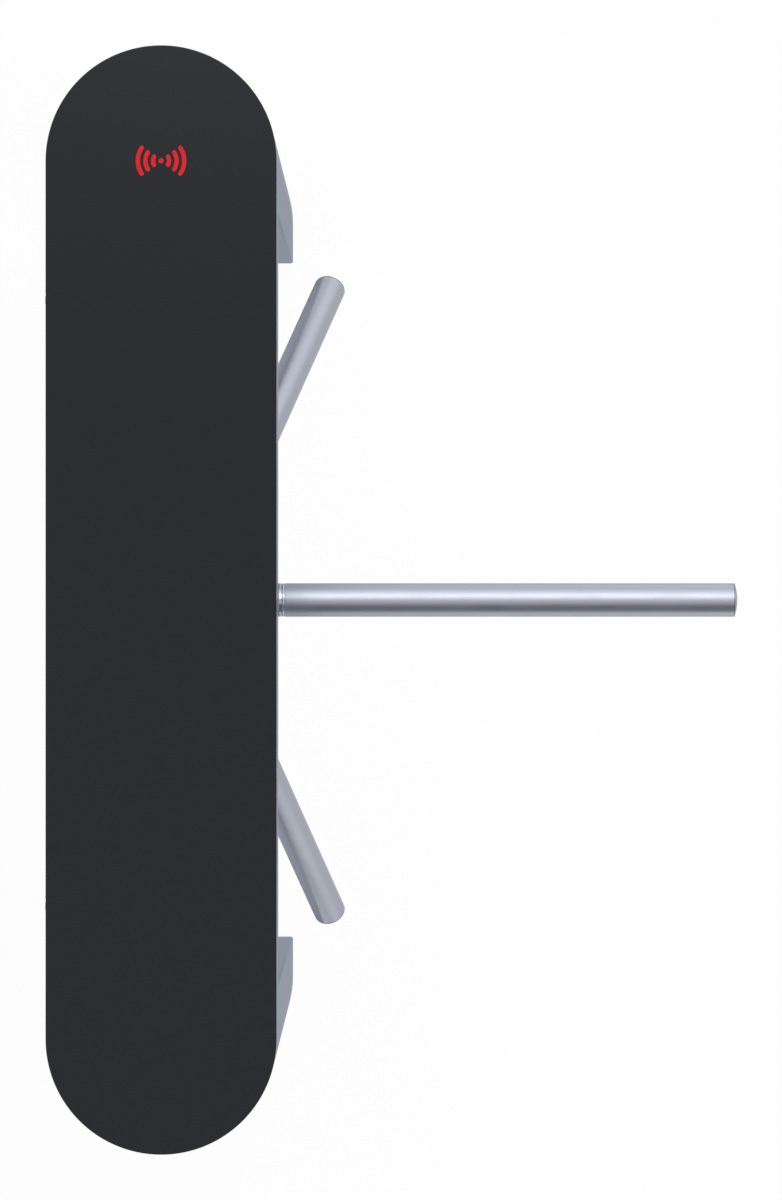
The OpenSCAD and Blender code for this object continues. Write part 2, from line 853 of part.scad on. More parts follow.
module motor_pinion() {
    start = gear_s - 1;
    color(brass) at_hub() at_motor() difference() {
        union() {
            translate([0, 0, start]) linear_extrude(gear_w + 2) gear_outline(pinion_teeth);
            translate([0, 0, start - 3]) cylinder(r = pinion_r - 3, h = 3);
        }
        translate([0, 0, start - 4]) cylinder(r = motor_shaft_d / 2 + 0.02, h = gear_w + 10);
    }
}

// Hub and arms

module hub_casting() {
    pocket_r = nose_r - 8;
    boss_s = front_bearing_s + bearing_w;
    rib = 2.5;
    color(cast) at_hub() difference() {
        union() {
            rotate_extrude() polygon([
                [0, hub_s], [hub_r, hub_s], [hub_r, hub_s + hub_rim_h],
                [cone_sum - hub_s - hub_rim_h, hub_s + hub_rim_h],
                [nose_r, nose_s], [0, nose_s]
            ]);
            translate([0, 0, boss_s]) cylinder(r = boss_r, h = hub_s - boss_s + 1);
            intersection() {
                for (k = [0 : 2]) at_arm(k) cylinder(r = socket_r, h = hub_reach);
                translate([0, 0, hub_s]) cylinder(r = 2 * hub_r, h = 2 * hub_r);
            }
        }
        translate([0, 0, boss_s - 1]) cylinder(r = seat_r + 0.02, h = nose_s);
        translate([0, 0, washer_s]) cylinder(r = pocket_r + 0.02, h = nose_s);
        for (k = [0 : 2]) at_arm(k)
            translate([0, 0, hub_reach - stud_l - 1]) cylinder(r = stud_r + 0.02, h = stud_l + 10);
        // Weight-saving recess behind the rim, with ribs left standing
        difference() {
            translate([0, 0, hub_s - 1]) ring(hub_r - 5, boss_r + 6, 3);
            for (a = [0 : 60 : 300]) rotate([0, 0, a])
                translate([0, -rib, hub_s - 2]) cube([hub_r, 2 * rib, 6]);
        }
    }
}

module hub_washer() {
    color(zinc) at_hub() translate([0, 0, washer_s]) ring(cap_r - 2, 6.3, washer_t);
}

module hub_screw() {
    color(zinc) at_hub() difference() {
        union() {
            translate([0, 0, washer_s - 24]) cylinder(r = 5.95, h = 24 + washer_t + 1);
            translate([0, 0, washer_s + washer_t]) cylinder(r = 9, h = 8);
        }
        translate([0, 0, washer_s + washer_t + 3]) cylinder(r = 5, h = 8, $fn = 6);
    }
}

// Points of a shallow dome, from its edge to its crown
function dome(radius, height) =
    let (bend = (radius * radius + height * height) / (2 * height), steps = 6)
    [for (i = [steps : -1 : 0]) let (a = asin(radius / bend) * i / steps)
        [bend * sin(a), height - bend + bend * cos(a)]];

module hub_cap() {
    edge = cap_r - fit;
    color(black) at_hub() translate([0, 0, nose_s]) rotate_extrude() polygon(concat(
        [[0, -1.2], [edge - 2, -1.2], [edge - 2, -cap_t], [edge, -cap_t]], dome(edge, 2)
    ));
}

// Collar stud: screwed into the hub, two polished rings, and a spigot in the tube
module arm_collars() {
    edge = arm_d / 2;
    spigot = edge - arm_wall - fit;
    color(polished) at_hub() for (k = [0 : 2]) at_arm(k) translate([0, 0, hub_reach])
        rotate_extrude() polygon([
            [0, -stud_l], [stud_r, -stud_l], [stud_r, 0], [edge - 0.4, 0], [edge, 0.4],
            [edge, collar_l * 0.53], [edge - 1, collar_l * 0.53 + 0.4],
            [edge - 1, collar_l * 0.65 - 0.2], [edge, collar_l * 0.65 + 0.2],
            [edge, collar_l - 1], [edge - 0.8, collar_l - 0.6], [edge - 0.8, collar_l],
            [spigot, collar_l], [spigot, collar_l + 32], [spigot - 2, collar_l + 34],
            [0, collar_l + 34]
        ]);
}

module arm_tube(k) {
    color(steel) at_hub() at_arm(k) translate([0, 0, hub_reach + collar_l])
        ring(arm_d / 2, arm_d / 2 - arm_wall, arm_tube_l);
}

module level_arm_tube() { arm_tube(0); }

module front_arm_tube() { arm_tube(1); }

module rear_arm_tube() { arm_tube(2); }

module arm_end_caps() {
    edge = arm_d / 2;
    spigot = edge - arm_wall - fit;
    color(polished) at_hub() for (k = [0 : 2])
        at_arm(k) translate([0, 0, hub_reach + collar_l + arm_tube_l])
            rotate_extrude() polygon(concat(
                [[0, -1.5], [spigot - 2, -1.5], [spigot - 2, -14], [spigot, -14], [spigot, 0]],
                dome(edge, dome_h)
            ));
}

// Electrics inside the beam

module power_supply() {
    x = sheet_t - half_w + 8;
    y = -leg_y + 25;
    z = beam_z + sheet_t;
    l = 170;
    w = 80;
    h = 38;
    color(zinc) translate([x, y, z]) difference() {
        cube([w, l, h]);
        for (i = [0 : 11]) translate([10, 14 + 10 * i, h - 1]) cube([w - 20, 4, 3]);
        translate([6, l - 20, h - 12]) cube([w - 12, 22, 14]);
    }
    color(green) translate([x + 8, y + l - 18, z + h - 12]) for (i = [0 : 6])
        translate([9.4 * i, 0, 0]) cube([7.6, 16, 9]);
}

board_w = 150;
board_h = 120;
board_y = -leg_y + 40;
board_z = beam_z + 52;
board_off = 10;

module board_corners() {
    for (y = [8, board_w - 8], z = [8, board_h - 8])
        translate([sheet_t - half_w, board_y + y, board_z + z]) rotate([0, 90, 0]) children();
}

module control_board() {
    x = sheet_t - half_w + board_off;
    color(green) difference() {
        union() {
            translate([x, board_y, board_z]) cube([1.6, board_w, board_h]);
            translate([x + 1.5, board_y + 55, board_z + 45]) cube([3, 28, 28]);
            translate([x + 1.5, board_y + 100, board_z + 60]) cube([14, 18, 22]);
            translate([x + 1.5, board_y + 20, board_z + 70]) cube([9, 14, 30]);
            for (i = [0 : 5]) translate([x + 1.5, board_y + 20 + 20 * i, board_z + 16])
                cube([10, 16, 8]);
            for (i = [0 : 2]) translate([x + 1.5, board_y + 60 + 16 * i, board_z + 98])
                rotate([0, 90, 0]) cylinder(r = 5, h = 12);
        }
        board_corners() cylinder(r = 2, h = 30);
    }
}

module board_spacers() {
    color(brass) board_corners() {
        cylinder(r = 4, h = board_off);
        cylinder(r = 1.9, h = board_off + 3);
        translate([0, 0, board_off + 1.6]) cylinder(r = 3.5, h = 2.4);
    }
}

module terminal_blocks() {
    count = 14;
    x = sheet_t - half_w + terminal_in;
    y = leg_y - terminal_back;
    z = beam_z + sheet_t;
    step_z = 0.7 * terminal_h;
    overhang = (terminal_w - rail_w) / 2;
    color(zinc) translate([x, y, z]) {
        cube([rail_w, rail_l, leaf_t]);
        for (side = [0, rail_w - rail_lip]) translate([side, 0, 0]) cube([rail_lip, rail_l, rail_h]);
    }
    color(cast) for (i = [0 : count - 1])
        translate([x - overhang, y + terminal_start + terminal_pitch * i, z + rail_h]) difference() {
            cube([terminal_w, terminal_pitch - run * 0.4, terminal_h]);
            for (dx = [terminal_step, terminal_w - terminal_step - terminal_hole])
                translate([dx, terminal_wall, step_z])
                    cube([terminal_hole, terminal_pitch - 2 * terminal_wall - run * 0.4, terminal_h]);
            for (dx = [-1, terminal_w - terminal_step]) translate([dx, -1, step_z])
                cube([terminal_step + 1, terminal_pitch + 2, terminal_h]);
        }
}

front_leg_shell();
rear_leg_shell();
leg_bulkheads();
beam_shell();
top_rim();
front_base_plate();
rear_base_plate();
glass_top();
lid_pan();
lid_gasket();
lid_lock_keepers();
card_reader();
lid_hinge_lower_leaves();
lid_hinge_upper_leaves();
lid_hinge_pins();
lid_lock_barrels();
front_lid_lock_cam();
rear_lid_lock_cam();
front_door();
front_door_leaves();
front_door_lock_barrel();
front_door_lock_cam();
rear_door();
rear_door_leaves();
rear_door_lock_barrel();
rear_door_lock_cam();
door_frame_leaves();
door_hinge_pins();
hub_trim_ring();
drive_front_plate();
drive_rear_plate();
drive_pillars();
bearing_housing();
bearing_outer_rings();
shaft_seal();
bearing_circlip();
motor_body();
motor_shaft();
motor_pinion();
encoder_sensor();
spindle();
bearing_inner_rings();
spindle_spacer();
drive_gear();
gear_key();
encoder_disc();
spindle_nut();
hub_casting();
hub_washer();
hub_screw();
hub_cap();
arm_collars();
level_arm_tube();
front_arm_tube();
rear_arm_tube();
arm_end_caps();
power_supply();
control_board();
board_spacers();
terminal_blocks();
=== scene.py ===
"""Tripod turnstile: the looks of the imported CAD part.

All sizes are in metres. X points into the passage, Y to the card reader and Z up.
"""
import math

import bmesh
import bpy
from mathutils import Matrix, Vector


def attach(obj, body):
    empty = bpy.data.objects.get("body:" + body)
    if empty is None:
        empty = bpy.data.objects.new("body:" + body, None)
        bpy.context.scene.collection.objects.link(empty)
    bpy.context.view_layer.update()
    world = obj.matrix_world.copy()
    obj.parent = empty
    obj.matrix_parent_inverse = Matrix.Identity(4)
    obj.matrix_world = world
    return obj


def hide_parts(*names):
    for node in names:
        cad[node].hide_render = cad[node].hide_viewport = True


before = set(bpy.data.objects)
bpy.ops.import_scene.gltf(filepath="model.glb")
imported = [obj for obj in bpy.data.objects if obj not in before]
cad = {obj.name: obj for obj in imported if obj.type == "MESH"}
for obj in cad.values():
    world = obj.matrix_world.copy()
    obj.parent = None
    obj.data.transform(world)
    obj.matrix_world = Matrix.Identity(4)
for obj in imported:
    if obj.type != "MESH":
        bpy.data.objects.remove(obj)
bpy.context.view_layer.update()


# ---- Floor plates and anchors ----
# An 8 mm plate, laser cut from steel and zinc plated, lies inside the foot of each leg. Four
# M12 stud anchors hold each plate to the concrete, with a washer and a nut on top.

plate_top = 0.008
anchor_spots = [(x, y) for y in (0.545, -0.545) for x in (0.060, -0.060)]
anchor_spots += [(x, y) for y in (0.445, -0.445) for x in (0.085, -0.085)]
stud_r, stud_end, stud_point = 0.006, 0.0275, 0.0015
thread_pitch, thread_depth, half_turns = 0.00175, 0.0009, 7
washer_r, washer_t, washer_edge = 0.012, 0.0025, 0.0003
nut_across, nut_h = 0.018, 0.010


def linear(code):
    """A written sRGB colour as the linear one that a shader takes."""
    parts = [int(code[i:i + 2], 16) / 255 for i in (1, 3, 5)]
    return [p / 12.92 if p <= 0.04045 else ((p + 0.055) / 1.055) ** 2.4 for p in parts] + [1]


def add(tree, kind, sockets, **settings):
    """One shader node. A socket takes a number, a colour or another node's output."""
    made = tree.nodes.new("ShaderNode" + kind)
    for key, value in settings.items():
        setattr(made, key, value)
    for name, value in sockets.items():
        if isinstance(value, bpy.types.NodeSocket):
            tree.links.new(value, made.inputs[name])
        else:
            made.inputs[name].default_value = value
    return made


def finish(name, colour, **sockets):
    """A material with its Principled shader, and the place on the object that patterns read."""
    made = bpy.data.materials.new(name)
    made.use_nodes = True
    tree = made.node_tree
    tree.nodes.clear()
    shader = add(tree, "BsdfPrincipled", {"Base Color": linear(colour)})
    for key, value in sockets.items():
        shader.inputs[key.replace("_", " ")].default_value = value
    add(tree, "OutputMaterial", {"Surface": shader.outputs[0]})
    place = add(tree, "TexCoord", {}).outputs["Object"]
    return made, tree, shader, place


def grain(tree, place, cells, detail=3, rough=0.55, turn=(0, 0, 0)):
    """An irregular pattern, with one number of cells to the metre for all axes or one for each."""
    stretch = cells if isinstance(cells, tuple) else (cells, cells, cells)
    spot = add(tree, "Mapping", {"Vector": place, "Scale": stretch, "Rotation": turn}, vector_type="POINT")
    sockets = {"Vector": spot.outputs[0], "Scale": 1, "Detail": detail, "Roughness": rough}
    return add(tree, "TexNoise", sockets).outputs["Fac"]


def wear(tree, shader, pattern, colours=None, sheen=None, depth=0, strength=0.5, span=(0.3, 0.7)):
    """Lets a pattern shade the colour, vary the roughness and stand up by a real depth."""
    if colours:
        ramp = add(tree, "ValToRGB", {"Fac": pattern})
        for stop, position, code in zip(ramp.color_ramp.elements, span, colours):
            stop.position, stop.color = position, linear(code)
        tree.links.new(ramp.outputs[0], shader.inputs["Base Color"])
    if sheen:
        level = add(tree, "MapRange", {0: pattern, 1: span[0], 2: span[1], 3: sheen[0], 4: sheen[1]})
        tree.links.new(level.outputs[0], shader.inputs["Roughness"])
    if depth:
        bump = add(tree, "Bump", {"Height": pattern, "Distance": depth, "Strength": strength})
        tree.links.new(bump.outputs[0], shader.inputs["Normal"])


def dress(material, *names):
    """Gives CAD nodes a finish and leaves their shape as it is."""
    for name in names:
        for one in cad[name].material_slots:
            one.material = material


def piece(name, mesh, material, body, slot, *stands_for, place=None, sharp=35):
    """A finished bmesh as one object that rides on a body, with round faces shaded round."""
    if place:
        bmesh.ops.transform(mesh, matrix=place, verts=mesh.verts)
    data = bpy.data.meshes.new(name)
    mesh.to_mesh(data)
    mesh.free()
    data.shade_smooth()
    data.set_sharp_from_angle(angle=math.radians(sharp))
    for side in data.polygons:
        if len(side.vertices) > 4:
            side.use_smooth = False
    made = bpy.data.objects.new(name, data)
    bpy.context.scene.collection.objects.link(made)
    data.materials.append(material)
    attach(made, body)
    if stands_for:
        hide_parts(*stands_for)
    return made


def revolve(points, steps=96, closed=False):
    """A turned shape from its outline, given as (radius, height)."""
    made = bmesh.new()
    ring = [made.verts.new((r, 0, z)) for r, z in points]
    for a, b in zip(ring, ring[1:]):
        made.edges.new((a, b))
    if closed:
        made.edges.new((ring[-1], ring[0]))
    bmesh.ops.spin(made, geom=made.verts[:] + made.edges[:], cent=(0, 0, 0), axis=(0, 0, 1),
                   dvec=(0, 0, 0), angle=2 * math.pi, steps=steps, use_merge=True, use_duplicate=False)
    bmesh.ops.remove_doubles(made, verts=made.verts, dist=0.000002)
    bmesh.ops.recalc_face_normals(made, faces=made.faces)
    return made


def round_edges(mesh, edges, offset, segments=2):
    """Eases edges; one segment gives a chamfer."""
    bmesh.ops.bevel(mesh, geom=edges, offset=offset, segments=segments, profile=0.5, affect="EDGES",
                    material=-1)


def hexagon(across, height, bottom=0.0):
    """A nut or a screw's head, with the corners turned off at both ends."""
    made = bmesh.new()
    bmesh.ops.create_cone(made, cap_ends=True, segments=6, radius1=across / math.sqrt(3),
                          radius2=across / math.sqrt(3), depth=height)
    bmesh.ops.translate(made, vec=(0, 0, bottom + height / 2), verts=made.verts)
    ends = [e for e in made.edges if abs(e.verts[0].co.z - e.verts[1].co.z) < 0.000001]
    round_edges(made, ends, 0.05 * across)
    return made


def gather(*shapes):
    """Several shapes as one mesh."""
    made = bmesh.new()
    for shape in shapes:
        data = bpy.data.meshes.new("part")
        shape.to_mesh(data)
        shape.free()
        made.from_mesh(data)
        bpy.data.meshes.remove(data)
    return made


def repeat(shape, places):
    """One mesh with the shape at each of the given places."""
    data = bpy.data.meshes.new("part")
    shape.to_mesh(data)
    shape.free()
    made = bmesh.new()
    for place in places:
        first = len(made.verts)
        made.from_mesh(data)
        made.verts.ensure_lookup_table()
        bmesh.ops.transform(made, matrix=place, verts=made.verts[first:])
    bpy.data.meshes.remove(data)
    return made


def at(x, y, z):
    """A place that is only moved, not turned."""
    return Matrix.Translation((x, y, z))


# Bright zinc plating: a skin that is faintly mottled every 11 mm, over 0.7 mm grit
zinc, tree, shader, place = finish("bright_zinc_plating", "#b4b8bd", Metallic=1.0)
mottle = grain(tree, place, 90, detail=5)
wear(tree, shader, mottle, colours=("#a3a9b0", "#c3c6c8"), sheen=(0.30, 0.44))
wear(tree, shader, grain(tree, place, 1400, detail=2), depth=0.00002)
dress(zinc, "front_base_plate", "rear_base_plate")

washer = revolve([(stud_r, 0), (washer_r - washer_edge, 0), (washer_r, washer_edge),
                  (washer_r, washer_t - washer_edge), (washer_r - washer_edge, washer_t),
                  (stud_r, washer_t)], steps=40, closed=True)
threads = [(stud_r - thread_depth * (i % 2), washer_t + nut_h - 0.001 + i * thread_pitch / 2)
           for i in range(half_turns)]
point = [(stud_r - stud_point, stud_end - plate_top), (0, stud_end - plate_top)]
stud = revolve([(stud_r, 0)] + threads + point, steps=24)
anchors = repeat(gather(washer, hexagon(nut_across, nut_h, washer_t), stud),
                 [at(x, y, plate_top) for x, y in anchor_spots])
piece("floor_anchor_nuts", anchors, zinc, "cabinet", "zinc_plated")


# ---- Cabinet ----
# Legs, folded panels, beam and top rim are 2 mm stainless sheet, rolled, folded and welded.
# The welds are ground flush and all of it is brushed along the sheet, so the grain lies level.

# Brushed stainless: long level scratches over finer hairs, drawn 2.4 and 0.45 mm apart, coarser
# than the real ones so that they show, and clouds in the sheen as wide as a hand
satin, tree, shader, place = finish("brushed_stainless_sheet", "#c3c6cc", Metallic=1.0,
                                    Specular_Tint=linear("#b0bbcc"))
scratch = grain(tree, place, (2, 2, 420), rough=0.6)
cloud = grain(tree, place, (6, 6, 9), detail=4)
mixed = add(tree, "Math", {0: scratch, 1: cloud}, operation="ADD").outputs[0]
wear(tree, shader, scratch, colours=("#bec1c7", "#c8cbd1"))
wear(tree, shader, mixed, sheen=(0.28, 0.40), span=(0.7, 1.3))
wear(tree, shader, grain(tree, place, (14, 14, 2200), detail=1), depth=0.00001, strength=0.3)
dress(satin, "front_leg_shell", "rear_leg_shell", "leg_bulkheads", "beam_shell", "top_rim")


# ---- Service doors ----
# Each leg has a flat door of the same sheet towards the arms, with two stiffening folds and
# six vents, on two leaf hinges. The leaves are zinc plated and held by small socket screws.

leaf_screw = {"radius": 0.0026, "height": 0.0007, "socket": 0.0012, "depth": 0.0005,
              "round_off": 0.0003, "steps": 18}
leaf_screw_in, leaf_t, leaf_steps = 0.009, 0.0012, (0.008, 0.025, 0.042)
door_axis_x, door_face_y, door_t, door_hinge_z = -0.105, 0.425, 0.002, (0.132, 0.588)
dress(satin, "front_door", "rear_door")
dress(zinc, "front_door_leaves", "rear_door_leaves", "door_frame_leaves")


def socket_screws(name, places, body, radius, height, socket, depth, round_off, steps=24):
    """Zinc-plated screws, of which each head stands on its place and has a hexagon socket."""
    head = revolve([(0, height - depth), (socket, height - depth), (socket, height),
                    (radius - round_off, height),
                    (radius - 0.3 * round_off, height - 0.3 * round_off),
                    (radius, height - round_off), (radius, 0)], steps)
    for v in head.verts:
        reach = math.hypot(v.co.x, v.co.y)
        if abs(reach - socket) < 0.000002:
            part = (math.degrees(math.atan2(v.co.y, v.co.x)) + 360) % 60 - 30
            swell = math.cos(math.radians(30)) / math.cos(math.radians(part))
            v.co.x, v.co.y = v.co.x * swell, v.co.y * swell
    piece(name, repeat(head, places), zinc, body, "zinc_plated")


for way, label in ((1, "front"), (-1, "rear")):
    turn = Matrix.Rotation(math.radians(90 * way), 4, "X")
    for leaf, x, sheet, body in (("_door", door_axis_x + leaf_screw_in, door_t, label + "_leg_door"),
                                 ("_frame", door_axis_x - leaf_screw_in, 0, "cabinet")):
        spots = [at(x, way * (door_face_y - sheet - leaf_t), z + step) @ turn
                 for z in door_hinge_z for step in leaf_steps]
        socket_screws(label + leaf + "_screws", spots, body, **leaf_screw)

# Ground steel, for hinge pins, shafts and bearing rings: bright, with the marks of grinding
# drawn at 1.4 mm, coarser than they are so that they show
ground, tree, shader, place = finish("ground_steel", "#c4c6c9", Metallic=1.0)
wear(tree, shader, grain(tree, place, 700, detail=2), sheen=(0.14, 0.24), depth=0.000006, strength=0.4)
dress(ground, "door_hinge_pins", "lid_hinge_pins")

# Chromed die castings and pressed cams: a soft polish with a haze every 6 mm
chrome, tree, shader, place = finish("chromed_lock_parts", "#c9cbcf", Metallic=1.0)
wear(tree, shader, grain(tree, place, 160, detail=4), sheen=(0.10, 0.22), depth=0.00002, strength=0.3)
dress(chrome, "front_door_lock_barrel", "rear_door_lock_barrel", "front_door_lock_cam",
      "rear_door_lock_cam", "lid_lock_barrels", "front_lid_lock_cam", "rear_lid_lock_cam")


# ---- Lid ----
# A 2 mm pan with a welded skirt carries the glass. It turns on three leaf hinges on the
# passage side, seals on a rubber gasket and is held by the locks' cams under two hooks.

lid_axis_x, lid_hinge_spots, lid_screw_steps = 0.122, (-0.330, 0, 0.330), (-0.026, 0, 0.026)
rim_top, pan_under = 0.9855, 0.990
dress(satin, "lid_pan")
dress(zinc, "lid_hinge_lower_leaves", "lid_hinge_upper_leaves", "lid_lock_keepers")

# Black rubber: matt, with a moulded grain of about 1 mm
rubber, tree, shader, place = finish("black_rubber", "#17171a", Roughness=0.75)
wear(tree, shader, grain(tree, place, 900), sheen=(0.66, 0.84), depth=0.00005, strength=0.6)
dress(rubber, "lid_gasket")

flip = Matrix.Rotation(math.pi, 4, "X")
spots = [(lid_axis_x - leaf_screw_in, y + step) for y in lid_hinge_spots for step in lid_screw_steps]
below = [at(x, y, rim_top + leaf_t) for x, y in spots]
above = [at(x, y, pan_under - leaf_t) @ flip for x, y in spots]
socket_screws("lid_hinge_screws_below", below, "cabinet", **leaf_screw)
socket_screws("lid_hinge_screws_above", above, "lid", **leaf_screw)


# ---- Glass top ----
# 8 mm toughened glass with a ground and polished edge, enamelled black from behind and
# bonded to the lid's pan. The reader's sign is printed on it in red.

deck_w, deck_l, deck_t, deck_top, deck_edge = 0.250, 1.200, 0.008, 1.000, 0.0009
sign_y, dot_r, arc_radii, stroke, ink_t = 0.475, 0.0027, (0.0087, 0.0169, 0.0251), 0.0045, 0.00006
half_angle = math.radians(36)


def round_ended(width, length, segments, spare):
    """A flat plate with half-round ends. The two corners of an end stay apart by twice spare."""
    made = bmesh.new()
    bmesh.ops.create_grid(made, x_segments=1, y_segments=1, size=0.5)
    bmesh.ops.scale(made, vec=(width, length, 1), verts=made.verts)
    bmesh.ops.bevel(made, geom=made.verts[:], offset=width / 2 - spare, segments=segments,
                    profile=0.5, affect="VERTICES", material=-1)
    return made


def push_out(mesh, grown, vec):
    """Moves what an extrusion has made, and turns every face outwards."""
    bmesh.ops.translate(mesh, vec=vec,
                        verts=[v for v in grown["geom"] if isinstance(v, bmesh.types.BMVert)])
    bmesh.ops.recalc_face_normals(mesh, faces=mesh.faces)


# Blue-black enamel under polished glass, with faint wiping marks 60 to 200 mm long
black_glass, tree, shader, place = finish("black_enamelled_glass", "#070b14", Roughness=0.03, IOR=1.45)
wear(tree, shader, grain(tree, place, (16, 5, 16), detail=4), sheen=(0.02, 0.07))

glass = round_ended(deck_w, deck_l, 64, 0.00001)
bmesh.ops.translate(glass, vec=(0, 0, deck_top - deck_t), verts=glass.verts)
push_out(glass, bmesh.ops.extrude_face_region(glass, geom=glass.faces[:]), (0, 0, deck_t))
rims = [e for e in glass.edges if len(e.link_faces) == 2 and e.calc_face_angle() > 1]
round_edges(glass, rims, deck_edge, 3)
piece("glass_deck", glass, black_glass, "lid", "black_glass", "glass_top")

# Red screen print: glossy ink with a faint mesh of dots, 0.4 mm apart
red_print, tree, shader, place = finish("red_screen_print", "#d5141c", Roughness=0.22, IOR=1.33)
wear(tree, shader, grain(tree, place, 2500, detail=1), colours=("#d0121a", "#da171f"))

sign = bmesh.new()
bmesh.ops.create_circle(sign, cap_ends=True, segments=40, radius=dot_r)
for radius in arc_radii:
    for side in (0, math.pi):
        arc = round_ended(stroke, 2 * half_angle * radius + stroke * 0.6, 8, 0.000001)
        long_edges = [e for e in arc.edges if e.calc_length() > stroke * 0.6]
        bmesh.ops.subdivide_edges(arc, edges=long_edges, cuts=20)
        for v in arc.verts:
            turn, reach = v.co.y / radius + side, radius + v.co.x
            v.co = (reach * math.cos(turn), reach * math.sin(turn), 0)
        sign = gather(sign, arc)
bmesh.ops.translate(sign, vec=(0, sign_y, deck_top + ink_t), verts=sign.verts)
for face in sign.faces:
    if face.normal.z < 0:
        face.normal_flip()
piece("reader_sign", sign, red_print, "lid", "black_glass")


# ---- Card reader ----
# A moulded box that is glued under the glass. Its round aerial well and cable notch face
# down, and four small screws close its lid.

reader_under, reader_screw_in = 0.976, 0.034

# Moulded black plastic: satin, with an eroded texture of 0.6 mm
plastic, tree, shader, place = finish("moulded_black_plastic", "#1b1c1f", Roughness=0.45)
wear(tree, shader, grain(tree, place, 1600, detail=2), sheen=(0.38, 0.55), depth=0.00003, strength=0.8)
dress(plastic, "card_reader")

spots = [at(x, sign_y + y, reader_under) @ flip
         for x in (-reader_screw_in, reader_screw_in) for y in (-reader_screw_in, reader_screw_in)]
socket_screws("reader_screws", spots, "lid", radius=0.0024, height=0.0012, socket=0.0011, depth=0.0008,
              round_off=0.0005, steps=18)


# ---- Drive frame ----
# Two 5 mm zinc-plated plates stand square to the hub's axis, four turned pillars apart. Six
# nuts clamp the front plate to studs on the slanted sheet.

pivot = Vector((0.0255, 0, 0.880))
hub_frame = Matrix.Translation(pivot) @ Matrix.Rotation(math.radians(135), 4, "Y")
hub_turn = hub_frame.to_3x3().inverted().to_euler()
front_plate_s, rear_plate_s, plate_t = 0.0393, -0.011, 0.005
pillar_spots = [(x, y) for x in (-0.060, 0.060) for y in (-0.060, 0.11325)]
stud_spots = [(x, y) for x in (-0.066, 0.066) for y in (-0.030, 0.040, 0.088)]
small_stud_r, small_stud_end, small_washer_r, small_washer_t = 0.003, 0.0088, 0.006, 0.0012

# Zinc-plated laser-cut plate: a rolled skin with faint marks 80 mm long, in the hub's directions
plated, tree, shader, place = finish("plated_drive_steel", "#abafb5", Metallic=1.0)
rolled = grain(tree, place, (12, 90, 90), detail=4, turn=hub_turn)
wear(tree, shader, rolled, colours=("#9ea3ab", "#bcbfc3"), sheen=(0.26, 0.42), depth=0.00002, strength=0.3)
dress(plated, "drive_front_plate", "drive_rear_plate", "drive_pillars")


def in_hub(spots, s, back=False):
    """Places at one station of the hub's axis, for things that face along it, or back along it."""
    turn = flip if back else Matrix()
    return [hub_frame @ at(x, y, s) @ turn for x, y in spots]


washer = revolve([(small_stud_r, 0), (small_washer_r - 0.0002, 0), (small_washer_r, 0.0002),
                  (small_washer_r, small_washer_t - 0.0002), (small_washer_r - 0.0002, small_washer_t),
                  (small_stud_r, small_washer_t)], steps=32, closed=True)
end = revolve([(small_stud_r, 0.001), (small_stud_r, small_stud_end - 0.0006),
               (small_stud_r - 0.0006, small_stud_end), (0, small_stud_end)], steps=20)
nuts = gather(washer, hexagon(0.010, 0.005, small_washer_t), end)
piece("front_plate_nuts", repeat(nuts, in_hub(stud_spots, front_plate_s, True)), zinc, "cabinet",
      "zinc_plated")
socket_screws("pillar_screws", in_hub(pillar_spots, rear_plate_s - plate_t, True), "cabinet",
              radius=0.00525, height=0.0032, socket=0.002, depth=0.0018, round_off=0.0014)


# ---- Bearing housing ----
# A turned alloy casting with a flange, held to the front plate by four cap screws. Two
# shielded ball bearings sit in it, with a circlip behind them and a lip seal in front.

flange_face, flange_t, flange_hole_r = 0.0393, 0.006, 0.045
flange_angles = [math.radians(a) for a in (45, 135, 225, 315)]

# Cast alloy, bead blasted to an even matt grain of 0.9 mm, with shades 30 mm across
blasted, tree, shader, place = finish("bead_blasted_casting", "#a9acb0", Metallic=1.0)
wear(tree, shader, grain(tree, place, 30, detail=4), colours=("#a1a4a9", "#b1b4b7"))
wear(tree, shader, grain(tree, place, 1100), sheen=(0.36, 0.50), depth=0.00006)
dress(blasted, "bearing_housing")
dress(ground, "bearing_outer_rings", "bearing_inner_rings")
dress(rubber, "shaft_seal")

# Phosphated spring steel: dark and matt, with crystals drawn at 0.5 mm so that they show
phosphated, tree, shader, place = finish("phosphated_spring_steel", "#4a4b4e", Metallic=1.0)
wear(tree, shader, grain(tree, place, 2000, detail=2), sheen=(0.42, 0.6), depth=0.00001)
dress(phosphated, "bearing_circlip")

spots = [(flange_hole_r * math.cos(a), flange_hole_r * math.sin(a)) for a in flange_angles]
socket_screws("flange_screws", in_hub(spots, flange_face - flange_t, True), "cabinet", radius=0.005,
              height=0.006, socket=0.0025, depth=0.003, round_off=0.0005)


# ---- Motor ----
# A square stepping motor on the rear plate: a laminated black stator between two die-cast
# end bells, closed by four long screws, with its lead's socket on one side.

motor_y, motor_half, motor_front, motor_back, corner_cut = 0.07875, 0.0285, -0.011, 0.031, 0.01025
bell_gap_front, bell_gap_back, motor_hole_in, bell_screw_share = -0.003, 0.023, 0.02357, 0.86
lip_r, lip_front, lip_back, lip_bore = 0.019, -0.013, -0.0105, 0.0045
boss_r, boss_h = 0.011, 0.0010
socket_face = motor_y + motor_half


def block(low, high, ease, segments=2):
    """A box between two corners with its edges eased."""
    made = bmesh.new()
    bmesh.ops.create_cube(made, size=1)
    bmesh.ops.scale(made, vec=[b - a for a, b in zip(low, high)], verts=made.verts)
    bmesh.ops.translate(made, vec=[(a + b) / 2 for a, b in zip(low, high)], verts=made.verts)
    round_edges(made, made.edges[:], ease, segments)
    return made


